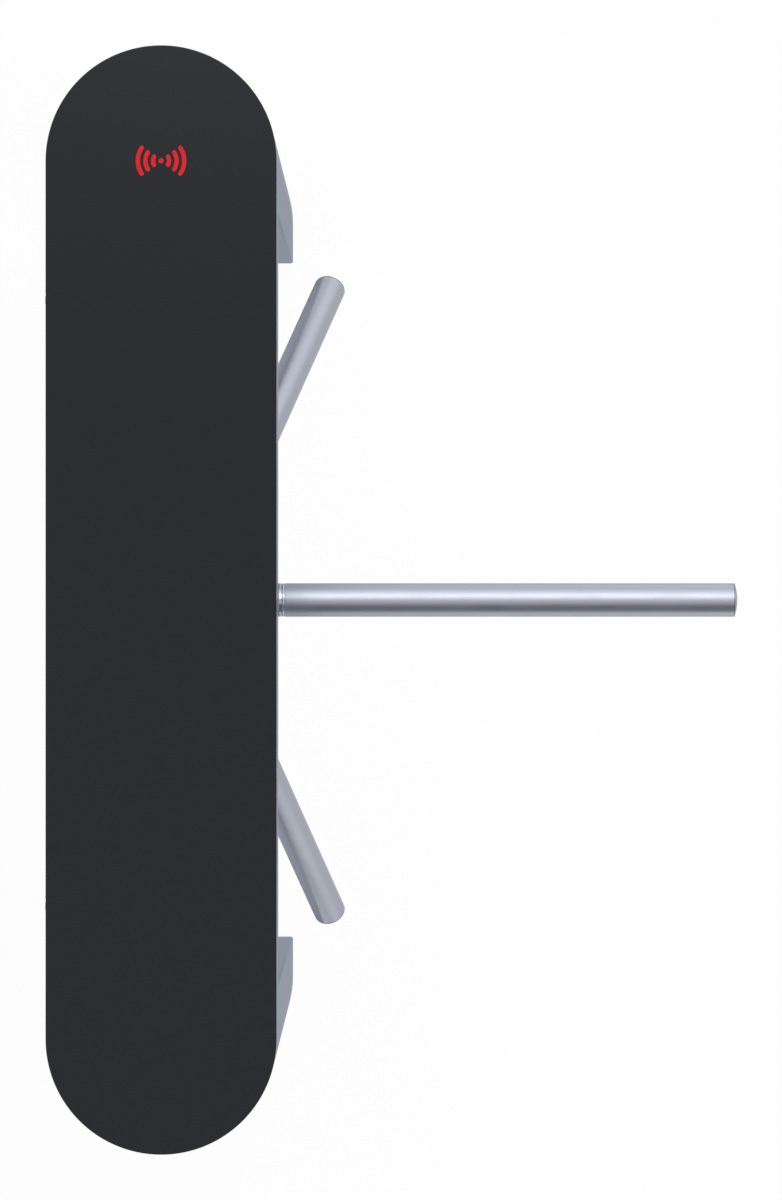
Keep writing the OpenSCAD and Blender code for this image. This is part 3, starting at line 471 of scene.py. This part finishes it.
def motor_slice(inset, low, high, ease):
    """A square slice of the motor with its corners cut, between two stations on the axis."""
    half = motor_half - inset
    made = bmesh.new()
    bmesh.ops.create_cube(made, size=1)
    bmesh.ops.scale(made, vec=(2 * half, 2 * half, high - low), verts=made.verts)
    bmesh.ops.translate(made, vec=(0, motor_y, (low + high) / 2), verts=made.verts)
    upright = [e for e in made.edges if abs(e.verts[0].co.z - e.verts[1].co.z) > 0.001]
    round_edges(made, upright, corner_cut - inset, 1)
    round_edges(made, made.edges[:], ease)
    return made


# Laminated stator: stacked sheets dipped in black lacquer, drawn a millimetre apart so that
# they show, though they are half of that
lacquer, tree, shader, place = finish("lacquered_laminations", "#1d1e21", Roughness=0.4)
stack = add(tree, "Mapping", {"Vector": place, "Rotation": hub_turn}, vector_type="POINT").outputs[0]
sheets = add(tree, "TexWave", {"Vector": stack, "Scale": 320.0}, wave_type="BANDS", bands_direction="Z")
wear(tree, shader, sheets.outputs["Fac"], sheen=(0.34, 0.5), depth=0.0001, strength=0.6, span=(0, 1))
stator = gather(motor_slice(0.0008, bell_gap_front - 0.001, bell_gap_back + 0.001, 0.0002),
                motor_slice(0, bell_gap_front + 0.002, bell_gap_back - 0.002, 0.0004))
piece("motor_stator", stator, lacquer, "cabinet", "black_enamel", "motor_body", place=hub_frame)

# Die-cast bells, tumbled smooth: a dull bright skin with a grain of 2 mm
tumbled, tree, shader, place = finish("tumbled_die_casting", "#9fa2a6", Metallic=1.0)
wear(tree, shader, grain(tree, place, 500, detail=4), colours=("#96999d", "#a9abae"), sheen=(0.32, 0.46),
     depth=0.00003)
lip = revolve([(lip_bore, lip_front), (lip_r - 0.0004, lip_front), (lip_r, lip_front + 0.0004),
               (lip_r, lip_back), (lip_bore, lip_back)], steps=64, closed=True)
boss = revolve([(0, motor_back + boss_h), (boss_r, motor_back + boss_h),
                (boss_r + 0.0004, motor_back + boss_h - 0.0004), (boss_r + 0.0008, motor_back - 0.0005)],
               steps=48)
for turned in (lip, boss):
    bmesh.ops.translate(turned, vec=(0, motor_y, 0), verts=turned.verts)
bells = gather(motor_slice(0, motor_front, bell_gap_front, 0.0010),
               motor_slice(0, bell_gap_back, motor_back, 0.0010), lip, boss)
piece("motor_bells", bells, tumbled, "cabinet", "cast_alloy", "motor_body", place=hub_frame)

corners = [(x, motor_y + y) for x in (-motor_hole_in, motor_hole_in) for y in (-motor_hole_in, motor_hole_in)]
socket_screws("motor_screws", in_hub(corners, rear_plate_s - plate_t, True), "cabinet",
              radius=0.00475, height=0.0027, socket=0.0018, depth=0.0015, round_off=0.0012)
inner = [(bell_screw_share * x, motor_y + bell_screw_share * (y - motor_y)) for x, y in corners]
socket_screws("motor_bell_screws", in_hub(inner, motor_back), "cabinet", radius=0.0032, height=0.0016,
              socket=0.0014, depth=0.0010, round_off=0.0004)
plug = gather(block((-0.011, socket_face - 0.001, 0.0235), (0.011, socket_face + 0.007, 0.0305), 0.0006),
              block((-0.009, socket_face + 0.006, 0.0245), (0.009, socket_face + 0.0085, 0.0295), 0.0004))
piece("motor_socket", plug, plastic, "cabinet", "black_plastic", place=hub_frame)
dress(ground, "motor_shaft")

# Machined brass, slightly tarnished in spots of 8 mm
brass, tree, shader, place = finish("machined_brass", "#c9a353", Metallic=1.0)
wear(tree, shader, grain(tree, place, 120, detail=4), colours=("#b8934a", "#d2ae60"), sheen=(0.2, 0.34))
dress(brass, "motor_pinion")


# ---- Spindle ----
# A ground steel shaft in the bearings. Behind them it carries the keyed drive gear, the
# slotted encoder disc and a hexagon nut that clamps them against a spacer.

# Hobbed gear steel under a thin coat of oil, which pools in darker spots 17 mm across
gear, tree, shader, place = finish("oiled_gear_steel", "#7f8185", Metallic=1.0)
wear(tree, shader, grain(tree, place, 60, detail=5), colours=("#6f7074", "#8d8f92"), sheen=(0.2, 0.36))
dress(gear, "drive_gear")
dress(ground, "spindle")
dress(phosphated, "gear_key", "encoder_disc")
dress(zinc, "spindle_spacer", "spindle_nut", "hub_screw", "hub_washer")


# ---- Encoder sensor ----
# A forked light gate on a moulded post that straddles the disc's rim. Two screws hold it to
# the rear plate, and its lamp and receiver face each other across the slot.

sensor_face_y, sensor_screw_x, sensor_screw_s = -0.0735, 0.0045, -0.024
window_half, window_low, window_high, window_stations = 0.003, -0.0595, -0.0555, (-0.0387, -0.0351)
dress(plastic, "encoder_sensor")
tall = Matrix.Rotation(math.radians(90), 4, "X")
spots = [hub_frame @ at(x, sensor_face_y, sensor_screw_s) @ tall for x in (-sensor_screw_x, sensor_screw_x)]
socket_screws("sensor_screws", spots, "cabinet", radius=0.0024, height=0.0018, socket=0.0011, depth=0.0010,
              round_off=0.0005, steps=18)

# Windows of the light gate: dark red tinted plastic, glossy, with a waviness of 2.5 mm
window, tree, shader, place = finish("tinted_sensor_window", "#3a1216", Roughness=0.12, IOR=1.5)
wear(tree, shader, grain(tree, place, 400, detail=2), sheen=(0.08, 0.18))
lamps = gather(*[block((-window_half, window_low, s), (window_half, window_high, s + 0.0003), 0.0001, 1)
                 for s in window_stations])
piece("sensor_windows", lamps, window, "cabinet", "black_plastic", place=hub_frame)


# ---- Hub ----
# A cone cast in aluminium alloy, with three sockets for the arms, fillets at every corner and
# ribs behind its rim. It is bead blasted, the nose is faced on a lathe, and a cap closes it.

nose_s, cap_r, cap_crown, cap_skirt = 0.1042, 0.022, 0.0018, 0.005

# Bead-blasted alloy as in the bearing housing. Within 0.2 mm of the nose's face the lathe has
# left it smooth
hub_metal, tree, shader, place = finish("blasted_hub_casting", "#b0b3b7", Metallic=1.0)
wear(tree, shader, grain(tree, place, 22, detail=4), colours=("#a9acb1", "#b7babd"))
pits = grain(tree, place, 1100)
axis = tuple(hub_frame.to_3x3() @ Vector((0, 0, 1)))
from_pivot = add(tree, "VectorMath", {0: place, 1: tuple(pivot)}, operation="SUBTRACT").outputs[0]
along = add(tree, "VectorMath", {0: from_pivot, 1: axis}, operation="DOT_PRODUCT").outputs["Value"]
faced = add(tree, "MapRange", {0: along, 1: nose_s - 0.0006, 2: nose_s - 0.0002, 3: 0, 4: 1}).outputs[0]
matt = add(tree, "MapRange", {0: pits, 1: 0.3, 2: 0.7, 3: 0.34, 4: 0.46}).outputs[0]
smooth = add(tree, "Mix", {0: faced, 2: matt, 3: 0.18}, data_type="FLOAT").outputs[0]
tree.links.new(smooth, shader.inputs["Roughness"])
calm = add(tree, "Math", {0: faced, 1: -0.4, 2: 0.45}, operation="MULTIPLY_ADD").outputs[0]
wear(tree, shader, pits, depth=0.00006, strength=calm)

# The casting's fillets: the CAD shape is remeshed finely in the hub's own frame, then eased
cast = bmesh.new()
cast.from_mesh(cad["hub_casting"].data)
bmesh.ops.remove_doubles(cast, verts=cast.verts, dist=0.00001)
bmesh.ops.transform(cast, matrix=hub_frame.inverted(), verts=cast.verts)
pattern = bpy.data.meshes.new("hub_pattern")
cast.to_mesh(pattern)
cast.free()
mould = bpy.data.objects.new("hub_mould", pattern)
bpy.context.scene.collection.objects.link(mould)
sand = mould.modifiers.new("sand", "REMESH")
sand.mode, sand.voxel_size = "VOXEL", 0.0010
fillets = mould.modifiers.new("fillets", "SMOOTH")
fillets.factor, fillets.iterations = 0.5, 7
shaped = bpy.data.meshes.new_from_object(mould.evaluated_get(bpy.context.evaluated_depsgraph_get()))
bpy.data.objects.remove(mould)
cast = bmesh.new()
cast.from_mesh(shaped)
bpy.data.meshes.remove(shaped)
piece("hub_body", cast, hub_metal, "tripod", "hub_alloy", "hub_casting", place=hub_frame, sharp=180)


def crown(radius, height, inset, base):
    """The outline of a shallow dome, from inset short of its rim to its middle."""
    bend = (radius ** 2 + height ** 2) / (2 * height)
    edge = math.asin((radius - inset) / bend)
    return [(bend * math.sin(edge * i / 10), base + height - bend + bend * math.cos(edge * i / 10))
            for i in range(10, -1, -1)]


cap = revolve([(cap_r - 0.0026, nose_s - cap_skirt), (cap_r - 0.0002, nose_s - cap_skirt),
               (cap_r - 0.0002, nose_s - 0.0006), (cap_r - 0.0006, nose_s - 0.0001)]
              + crown(cap_r, cap_crown, 0.0012, nose_s), steps=96)
piece("hub_nose_cap", cap, plastic, "tripod", "black_plastic", "hub_cap", place=hub_frame)
dress(plastic, "hub_trim_ring")


# ---- Arms ----
# Three 37 mm stainless tubes stand on polished collar studs in the hub and end in pressed,
# slightly domed caps. Tubes are linished round, collars polished, caps finely brushed.

arm_d, arm_wall, arm_l, arm_lean = 0.037, 0.0015, 0.4950, 45
hub_reach, collar_l, spigot_l, spigot_in = 0.097, 0.0092, 0.03, 0.0017
cap_gap, cap_rim, cap_plug, dome_h = 0.0004, 0.0005, 0.004, 0.0030

# How far the collar's outline lies in from the tube's, and how far along the collar. It swells
# to a band, has one groove cut at 5.8 mm and one left where it meets the tube
collar_outline = ((0.0006, 0), (0.0002, 0.0003), (0.00005, 0.0010), (0, 0.0024), (0, 0.0036),
                  (0.00005, 0.0048), (0.0001, 0.0054), (0.0004, 0.0056), (0.0004, 0.0060),
                  (0.0001, 0.0062), (0, 0.0068), (0, 0.0082), (0.0002, 0.0086), (0.0009, 0.0088),
                  (0.0009, collar_l), (spigot_in, collar_l), (spigot_in, collar_l + spigot_l))


def linished(name, colour, sheen, cells, depth, turn):
    """Steel with fine lines as its abrasive left them, and clouds 40 mm wide in the sheen."""
    made, tree, shader, place = finish(name, colour, Metallic=1.0)
    lines = grain(tree, place, cells, rough=0.6, turn=turn)
    both = add(tree, "Math", {0: lines, 1: grain(tree, place, 25)}, operation="ADD").outputs[0]
    wear(tree, shader, both, sheen=sheen, span=(0.7, 1.3))
    wear(tree, shader, lines, depth=depth, strength=0.3)
    return made


r, seam = arm_d / 2, hub_reach + collar_l
end = seam + arm_l
tip = end + cap_gap
for number, label in enumerate(("level", "front", "rear")):
    # From the arm's own frame, Z along the tube, to the object's
    arm = (hub_frame @ Matrix.Rotation(math.radians(180 + 120 * number), 4, "Z")
           @ Matrix.Rotation(math.radians(arm_lean), 4, "Y"))
    turn = arm.to_3x3().inverted().to_euler()
    # Rings 0.4 mm apart round the tube and 0.25 mm round the collar, and a brushed grit of
    # 1.1 mm on the cap, all drawn coarser than the real ones so that they show
    tube_steel = linished(label + "_arm_linished_tube", "#b9bdc9", (0.35, 0.43), (30, 30, 2500), 0.00001,
                          turn)
    bright_steel = linished(label + "_arm_polished_collar", "#c2c5cc", (0.05, 0.10), (40, 40, 4000),
                            0.000006, turn)
    cap_steel = linished(label + "_arm_brushed_cap", "#a5a8af", (0.26, 0.36), 900, 0.00001, turn)
    tube = revolve([(r - 0.0003, seam), (r, seam + 0.0003), (r, end - 0.0004), (r - 0.0004, end),
                    (r - arm_wall, end), (r - arm_wall, seam)], steps=128, closed=True)
    piece(label + "_arm", tube, tube_steel, "tripod", "tube_steel", label + "_arm_tube", place=arm)
    collar = revolve([(0, hub_reach)] + [(r - inset, hub_reach + along) for inset, along in collar_outline]
                     + [(0, seam + spigot_l)], steps=128)
    piece(label + "_arm_collar", collar, bright_steel, "tripod", "polished_steel", "arm_collars", place=arm)
    cap = revolve([(0, tip - cap_plug), (r - 0.0018, tip - cap_plug), (r - 0.0018, tip - 0.0004),
                   (r - 0.0012, tip - 0.0004), (r - 0.0012, tip), (r - 0.0002, tip), (r, tip + 0.0002),
                   (r, tip + cap_rim - 0.0001)] + crown(r, dome_h, 0.0004, tip + cap_rim), steps=128)
    piece(label + "_arm_cap", cap, cap_steel, "tripod", "polished_steel", "arm_end_caps", place=arm)


# ---- Power supply ----
# A mains supply in a folded, vented steel case, screwed to the beam's floor. Its screw
# terminals stand in a row of barriers at the end away from the leg.

left, right, end_y, top = -0.115, -0.035, -0.230, 0.804
barriers, barrier_x, barrier_pitch, row_in = 8, 0.0076, 0.0094, 0.0185
dress(zinc, "power_supply")
row = [block((left + 0.0070, end_y - row_in, top - 0.0125), (right - 0.0070, end_y - 0.0010, top - 0.0045),
             0.0004)]
row += [block((left + barrier_x + barrier_pitch * i - 0.0009, end_y - row_in, top - 0.0125),
              (left + barrier_x + barrier_pitch * i + 0.0005, end_y - 0.0005, top - 0.0020), 0.0003)
        for i in range(barriers)]
piece("supply_terminals", gather(*row), plastic, "cabinet", "black_plastic")
spots = [at(left + 0.0121 + barrier_pitch * i, end_y - 0.0095, top - 0.0046) for i in range(barriers - 1)]
socket_screws("supply_screws", spots, "cabinet", radius=0.0030, height=0.0014, socket=0.0012,
              depth=0.0009, round_off=0.0005, steps=18)


# ---- Control board ----
# A 1.6 mm circuit board on four brass spacers at the wall. It carries the processor, two
# relays, three capacitors and a row of six plug-in terminals.

face_x, board_y, board_z, sunk = -0.1114, -0.385, 0.816, 0.0002
pins, pin_pitch, pin_reach, first_pin = 19, 0.0013, 0.0142, -0.0117
plug_w, plug_l, plug_h, plug_pitch = 0.0104, 0.0164, 0.0084, 0.020
can_r, can_h, can_pitch = 0.0052, 0.0124, 0.016


def on_board(y, z):
    """A place on the board's face, measured from its lower corner."""
    return at(face_x - sunk, board_y + y, board_z + z)


def chip(low, high, height, ease):
    """A part that stands on the board, between two corners of its own."""
    return block((face_x - sunk, board_y + low[0], board_z + low[1]),
                 (face_x + height, board_y + high[0], board_z + high[1]), ease)


# Green solder mask, half gloss, over a lattice of copper tracks that stands for the real layout
board, tree, shader, place = finish("green_solder_mask", "#23593a", Roughness=0.35)
wall = add(tree, "Mapping", {"Vector": place, "Scale": (1, 1, 1), "Rotation": (0, math.radians(90), 0)},
           vector_type="POINT").outputs[0]
tracks = add(tree, "TexBrick", {"Vector": wall, "Scale": 60.0, "Color1": linear("#23593a"),
                                "Color2": linear("#1f5236"), "Mortar": linear("#347a52"),
                                "Mortar Size": 0.03}).outputs["Color"]
tree.links.new(tracks, shader.inputs["Base Color"])
wear(tree, shader, grain(tree, place, 300, detail=2), sheen=(0.28, 0.42))
dress(board, "control_board")
dress(brass, "board_spacers")

# Black epoxy of chips and relays: matt, with a speckle of 0.3 mm
epoxy, tree, shader, place = finish("black_epoxy", "#17181a", Roughness=0.5)
wear(tree, shader, grain(tree, place, 3000, detail=2), sheen=(0.42, 0.6), depth=0.00001, strength=0.6)
chips = gather(chip((0.0548, 0.0448), (0.0832, 0.0732), 0.0032, 0.0003),
               chip((0.0998, 0.0598), (0.1182, 0.0822), 0.0142, 0.0006),
               chip((0.0198, 0.0698), (0.0342, 0.1002), 0.0092, 0.0006))
piece("board_chips", chips, epoxy, "cabinet", "black_plastic")

# Tinned copper legs of the processor: bright, with a frost of 0.5 mm
tinned, tree, shader, place = finish("tinned_copper_legs", "#c2c4c6", Metallic=1.0)
wear(tree, shader, grain(tree, place, 2000, detail=1), sheen=(0.22, 0.36))
leg = block((0, -0.0003, 0), (0.0012, 0.0003, 0.0018), 0.0001, 1)
middle = at(face_x, board_y + 0.069, board_z + 0.059)
sides = [middle @ Matrix.Rotation(math.radians(90 * side), 4, "X") for side in range(4)]
places = [side @ at(0, first_pin + pin_pitch * i, pin_reach) for side in sides for i in range(pins)]
piece("processor_legs", repeat(leg, places), tinned, "cabinet", "zinc_plated")

# Green moulded plug-in terminals: satin, eroded at 0.7 mm
terminal_green, tree, shader, place = finish("green_terminal_plastic", "#2f8f57", Roughness=0.45)
wear(tree, shader, grain(tree, place, 1500, detail=2), sheen=(0.38, 0.55))
plug = gather(block((0, 0, 0), (plug_w, plug_l, plug_h), 0.0004),
              block((plug_w, 0.0014, 0.0010), (plug_w + 0.0008, 0.0070, 0.0074), 0.0003),
              block((plug_w, 0.0094, 0.0010), (plug_w + 0.0008, 0.0150, 0.0074), 0.0003))
spots = [on_board(0.0198 + plug_pitch * i, 0.0158) for i in range(6)]
piece("board_plugs", repeat(plug, spots), terminal_green, "cabinet", "circuit_green")

# Capacitors: shrunk sleeves of glossy black plastic, and scored aluminium tops
sleeve, tree, shader, place = finish("printed_black_sleeve", "#1c1e26", Roughness=0.3)
wear(tree, shader, grain(tree, place, 250, detail=2), sheen=(0.24, 0.36))
to_wall = Matrix.Rotation(math.radians(90), 4, "Y")
spots = [on_board(0.060 + can_pitch * i, 0.098) @ to_wall for i in range(3)]
can = revolve([(can_r, 0), (can_r, 0.0016), (can_r - 0.0003, 0.0020), (can_r, 0.0024),
               (can_r, can_h - 0.0006), (can_r - 0.0004, can_h), (can_r - 0.0010, can_h)], steps=32)
piece("capacitor_sleeves", repeat(can, spots), sleeve, "cabinet", "black_plastic")
lid = revolve([(can_r - 0.0009, can_h - 0.0003), (can_r - 0.0012, can_h - 0.0001), (0, can_h - 0.0001)],
              steps=32)
piece("capacitor_tops", repeat(lid, spots), tinned, "cabinet", "zinc_plated")


# ---- Terminal rail ----
# A hat-shaped zinc-plated rail on the beam's floor with fourteen grey feed-through
# terminals, each with two screws and two wire funnels.

rail_x, rail_y, rail_l, rail_z, rail_w, rail_h = -0.093, 0.195, 0.150, 0.766, 0.035, 0.0075
rail_t, rail_lip = 0.001, 0.005
block_x, block_w, block_l, block_pitch, first_block = -0.097, 0.043, 0.0078, 0.0082, 0.209
blocks, stop_l, stop_h, screw_h, screw_lean = 14, 0.009, 0.028, 0.0319, 30
seat_z = rail_z + rail_h

rail = bmesh.new()
profile = [rail.verts.new((rail_x + x, rail_y, rail_z + z)) for x, z in
           ((0, rail_h), (rail_lip, rail_h), (rail_lip, rail_t), (rail_w - rail_lip, rail_t),
            (rail_w - rail_lip, rail_h), (rail_w, rail_h))]
for a, b in zip(profile, profile[1:]):
    rail.edges.new((a, b))
push_out(rail, bmesh.ops.extrude_edge_only(rail, edges=rail.edges[:]), (0, rail_l, 0))
bmesh.ops.solidify(rail, geom=rail.faces[:], thickness=rail_t)
piece("terminal_rail", rail, zinc, "cabinet", "zinc_plated", "terminal_blocks")

# Grey moulded polyamide: matt, with an eroded texture of 0.7 mm
grey, tree, shader, place = finish("grey_terminal_plastic", "#8d9196", Roughness=0.5)
wear(tree, shader, grain(tree, place, 1500, detail=2), sheen=(0.42, 0.58), depth=0.00002)
one = bmesh.new()
one.faces.new([one.verts.new((x, 0, z)) for x, z in
               ((0.004, 0), (0.039, 0), (block_w, 0.006), (block_w, 0.0238), (0.038, 0.0238),
                (0.038, 0.0300), (0.031, 0.034), (0.012, 0.034), (0.005, 0.0300), (0.005, 0.0238),
                (0, 0.0238), (0, 0.006))])
push_out(one, bmesh.ops.extrude_face_region(one, geom=one.faces[:]), (0, block_l, 0))
round_edges(one, one.edges[:], 0.0003, 1)
spots = [at(block_x, first_block + block_pitch * i, seat_z) for i in range(blocks)]
piece("terminal_row", repeat(one, spots), grey, "cabinet", "grey_plastic", "terminal_blocks")
ends = [block((block_x + 0.004, y, seat_z), (block_x + block_w - 0.004, y + stop_l, seat_z + stop_h), 0.0008)
        for y in (first_block - stop_l - 0.0005, first_block + blocks * block_pitch + 0.0002)]
piece("terminal_end_stops", gather(*ends), grey, "cabinet", "grey_plastic")
spots = [at(block_x + x, first_block + block_pitch * i + block_l / 2, seat_z + screw_h)
         @ Matrix.Rotation(math.radians(way * screw_lean), 4, "Y")
         for i in range(blocks) for x, way in ((0.0085, -1), (0.0345, 1))]
socket_screws("terminal_screws", spots, "cabinet", radius=0.0024, height=0.0008, socket=0.0010,
              depth=0.0006, round_off=0.0003, steps=12)


# ---- Studio ----
# A pale floor in a white surround, lit by two soft boxes, a large one over the reader's end
# and one over the passage, and seen from straight above as in the photograph.

floor_size, floor_z, room_level, floor_level, white_share = 20, -0.0002, 0.70, 0.72, 0.95

# What the floor shows to reflections: two white cards lie far out beside the passage, each a
# direction and an amount, and the floor behind the cabinet is brighter
cards = (((0.53, 0.848, 0), 0.47), ((0.53, -0.848, 0), 0.27))
card_near, card_far, card_full, card_edge = 0.8, 2.4, math.radians(6), math.radians(30)
behind_from, behind_to, behind_more = 0.04, -0.20, 0.50


def tilt(degrees):
    """A direction that leans from straight up towards the reader's end."""
    return 0, math.sin(math.radians(degrees)), math.cos(math.radians(degrees))


# What the surround shows to reflections: round patches, each with a direction, the angles in
# degrees at which it is full and gone, and how much brighter or darker it is
patches = ((tilt(27), 5, 25, 1.35), (tilt(45), 10, 40, 0.60), (tilt(-60), 16, 44, -0.55),
           ((-1, 0, 0.15), 15, 60, 0.30), ((1, 0, 0.15), 15, 60, 0.20),
           ((0.53, 0.848, 0.10), 8, 26, 0.38), ((0.53, -0.848, 0.10), 8, 26, 0.22))


def ray_kinds(tree):
    """1 for what the camera sees, straight or through glass, and 1 for what gloss sees."""
    path = add(tree, "LightPath", {})
    seen = add(tree, "Math", {0: path.outputs["Is Camera Ray"], 1: path.outputs["Is Transmission Ray"]},
               operation="MAXIMUM").outputs[0]
    return seen, path.outputs["Is Glossy Ray"]


def towards(tree, way, aim, full, edge, amount):
    """A round patch about a direction: amount within the angle full of it, 0 beyond edge."""
    near = add(tree, "VectorMath", {0: way, 1: aim}, operation="DOT_PRODUCT").outputs["Value"]
    return add(tree, "MapRange", {0: near, 1: math.cos(edge), 2: math.cos(full), 3: 0, 4: amount},
               interpolation_type="SMOOTHSTEP").outputs[0]


plane = bmesh.new()
bmesh.ops.create_grid(plane, x_segments=1, y_segments=1, size=floor_size)
bmesh.ops.translate(plane, vec=(0, 0, floor_z), verts=plane.verts)
floor_data = bpy.data.meshes.new("floor")
plane.to_mesh(floor_data)
plane.free()
floor = bpy.data.objects.new("floor", floor_data)
bpy.context.scene.collection.objects.link(floor)
pale = bpy.data.materials.new("pale_floor")
pale.use_nodes = True
tree = pale.node_tree
tree.nodes.clear()
seen, glossy = ray_kinds(tree)
any_ray = add(tree, "Math", {0: seen, 1: glossy}, operation="MAXIMUM").outputs[0]
share = add(tree, "Math", {0: any_ray, 1: white_share}, operation="MULTIPLY").outputs[0]
position = add(tree, "NewGeometry", {}).outputs["Position"]
flat = add(tree, "VectorMath", {0: position, 1: (1, 1, 0)}, operation="MULTIPLY").outputs[0]
away = add(tree, "VectorMath", {0: flat}, operation="LENGTH").outputs["Value"]
far = add(tree, "MapRange", {0: away, 1: card_near, 2: card_far, 3: 0, 4: 1},
          interpolation_type="SMOOTHSTEP").outputs[0]
way = add(tree, "VectorMath", {0: flat}, operation="NORMALIZE").outputs[0]
gloss = floor_level
for aim, amount in cards:
    card = towards(tree, way, aim, card_full, card_edge, amount)
    gloss = add(tree, "Math", {0: card, 1: far, 2: gloss}, operation="MULTIPLY_ADD").outputs[0]
over = add(tree, "SeparateXYZ", {0: position}).outputs["X"]
behind = add(tree, "MapRange", {0: over, 1: behind_from, 2: behind_to, 3: 0, 4: behind_more},
             interpolation_type="SMOOTHSTEP").outputs[0]
gloss = add(tree, "Math", {0: gloss, 1: behind}, operation="ADD").outputs[0]
level = add(tree, "MapRange", {0: glossy, 1: 0, 2: 1, 3: 1.0, 4: gloss}).outputs[0]
plain = add(tree, "BsdfDiffuse", {"Color": linear("#e6e7e9")}).outputs[0]
white = add(tree, "Emission", {"Color": (1, 1, 1, 1), "Strength": level}).outputs[0]
mixed = add(tree, "MixShader", {0: share, 1: plain, 2: white}).outputs[0]
add(tree, "OutputMaterial", {"Surface": mixed})
floor_data.materials.append(pale)

world = bpy.data.worlds.new("studio")
bpy.context.scene.world = world
world.use_nodes = True
tree = world.node_tree
tree.nodes.clear()
seen, glossy = ray_kinds(tree)
way = add(tree, "TexCoord", {}).outputs["Generated"]
level = room_level
for aim, full, edge, amount in patches:
    patch = towards(tree, way, tuple(Vector(aim).normalized()), math.radians(full), math.radians(edge), 1)
    level = add(tree, "Math", {0: patch, 1: amount, 2: level}, operation="MULTIPLY_ADD").outputs[0]
lit = add(tree, "MapRange", {0: glossy, 1: 0, 2: 1, 3: 0.75, 4: level}).outputs[0]
room = add(tree, "Background", {"Color": (1, 1, 1, 1), "Strength": lit}).outputs[0]
sky = add(tree, "Background", {"Color": (1, 1, 1, 1), "Strength": 1.0}).outputs[0]
mixed = add(tree, "MixShader", {0: seen, 1: room, 2: sky}).outputs[0]
add(tree, "OutputWorld", {"Surface": mixed})


def soft_box(name, spot, aim, size, power):
    """A square area lamp that faces a point and that gloss doesn't show."""
    lamp = bpy.data.lights.new(name, "AREA")
    lamp.size, lamp.energy = size, power
    made = bpy.data.objects.new(name, lamp)
    made.location = spot
    made.rotation_euler = (Vector(aim) - Vector(spot)).to_track_quat("-Z", "Y").to_euler()
    made.visible_glossy = False
    bpy.context.scene.collection.objects.link(made)


soft_box("key_box", (1.5, 3.2, 3.6), (0, 0, 0.6), 2.2, 75)
soft_box("side_box", (3.6, -1.5, 2.2), (0, 0, 0.5), 2.0, 35)

# The photograph's frame is 1200 pixels high, and its camera was fitted at 5515 pixels
lens = bpy.data.cameras.new("camera")
lens.sensor_width = 36
lens.lens = lens.sensor_width * 5515 / 1200
lens.clip_end = 60
camera = bpy.data.objects.new("camera", lens)
camera.location = (0.2487, 0, 6.964)
bpy.context.scene.collection.objects.link(camera)
bpy.context.scene.camera = camera
bpy.context.scene.view_settings.view_transform = "Standard"
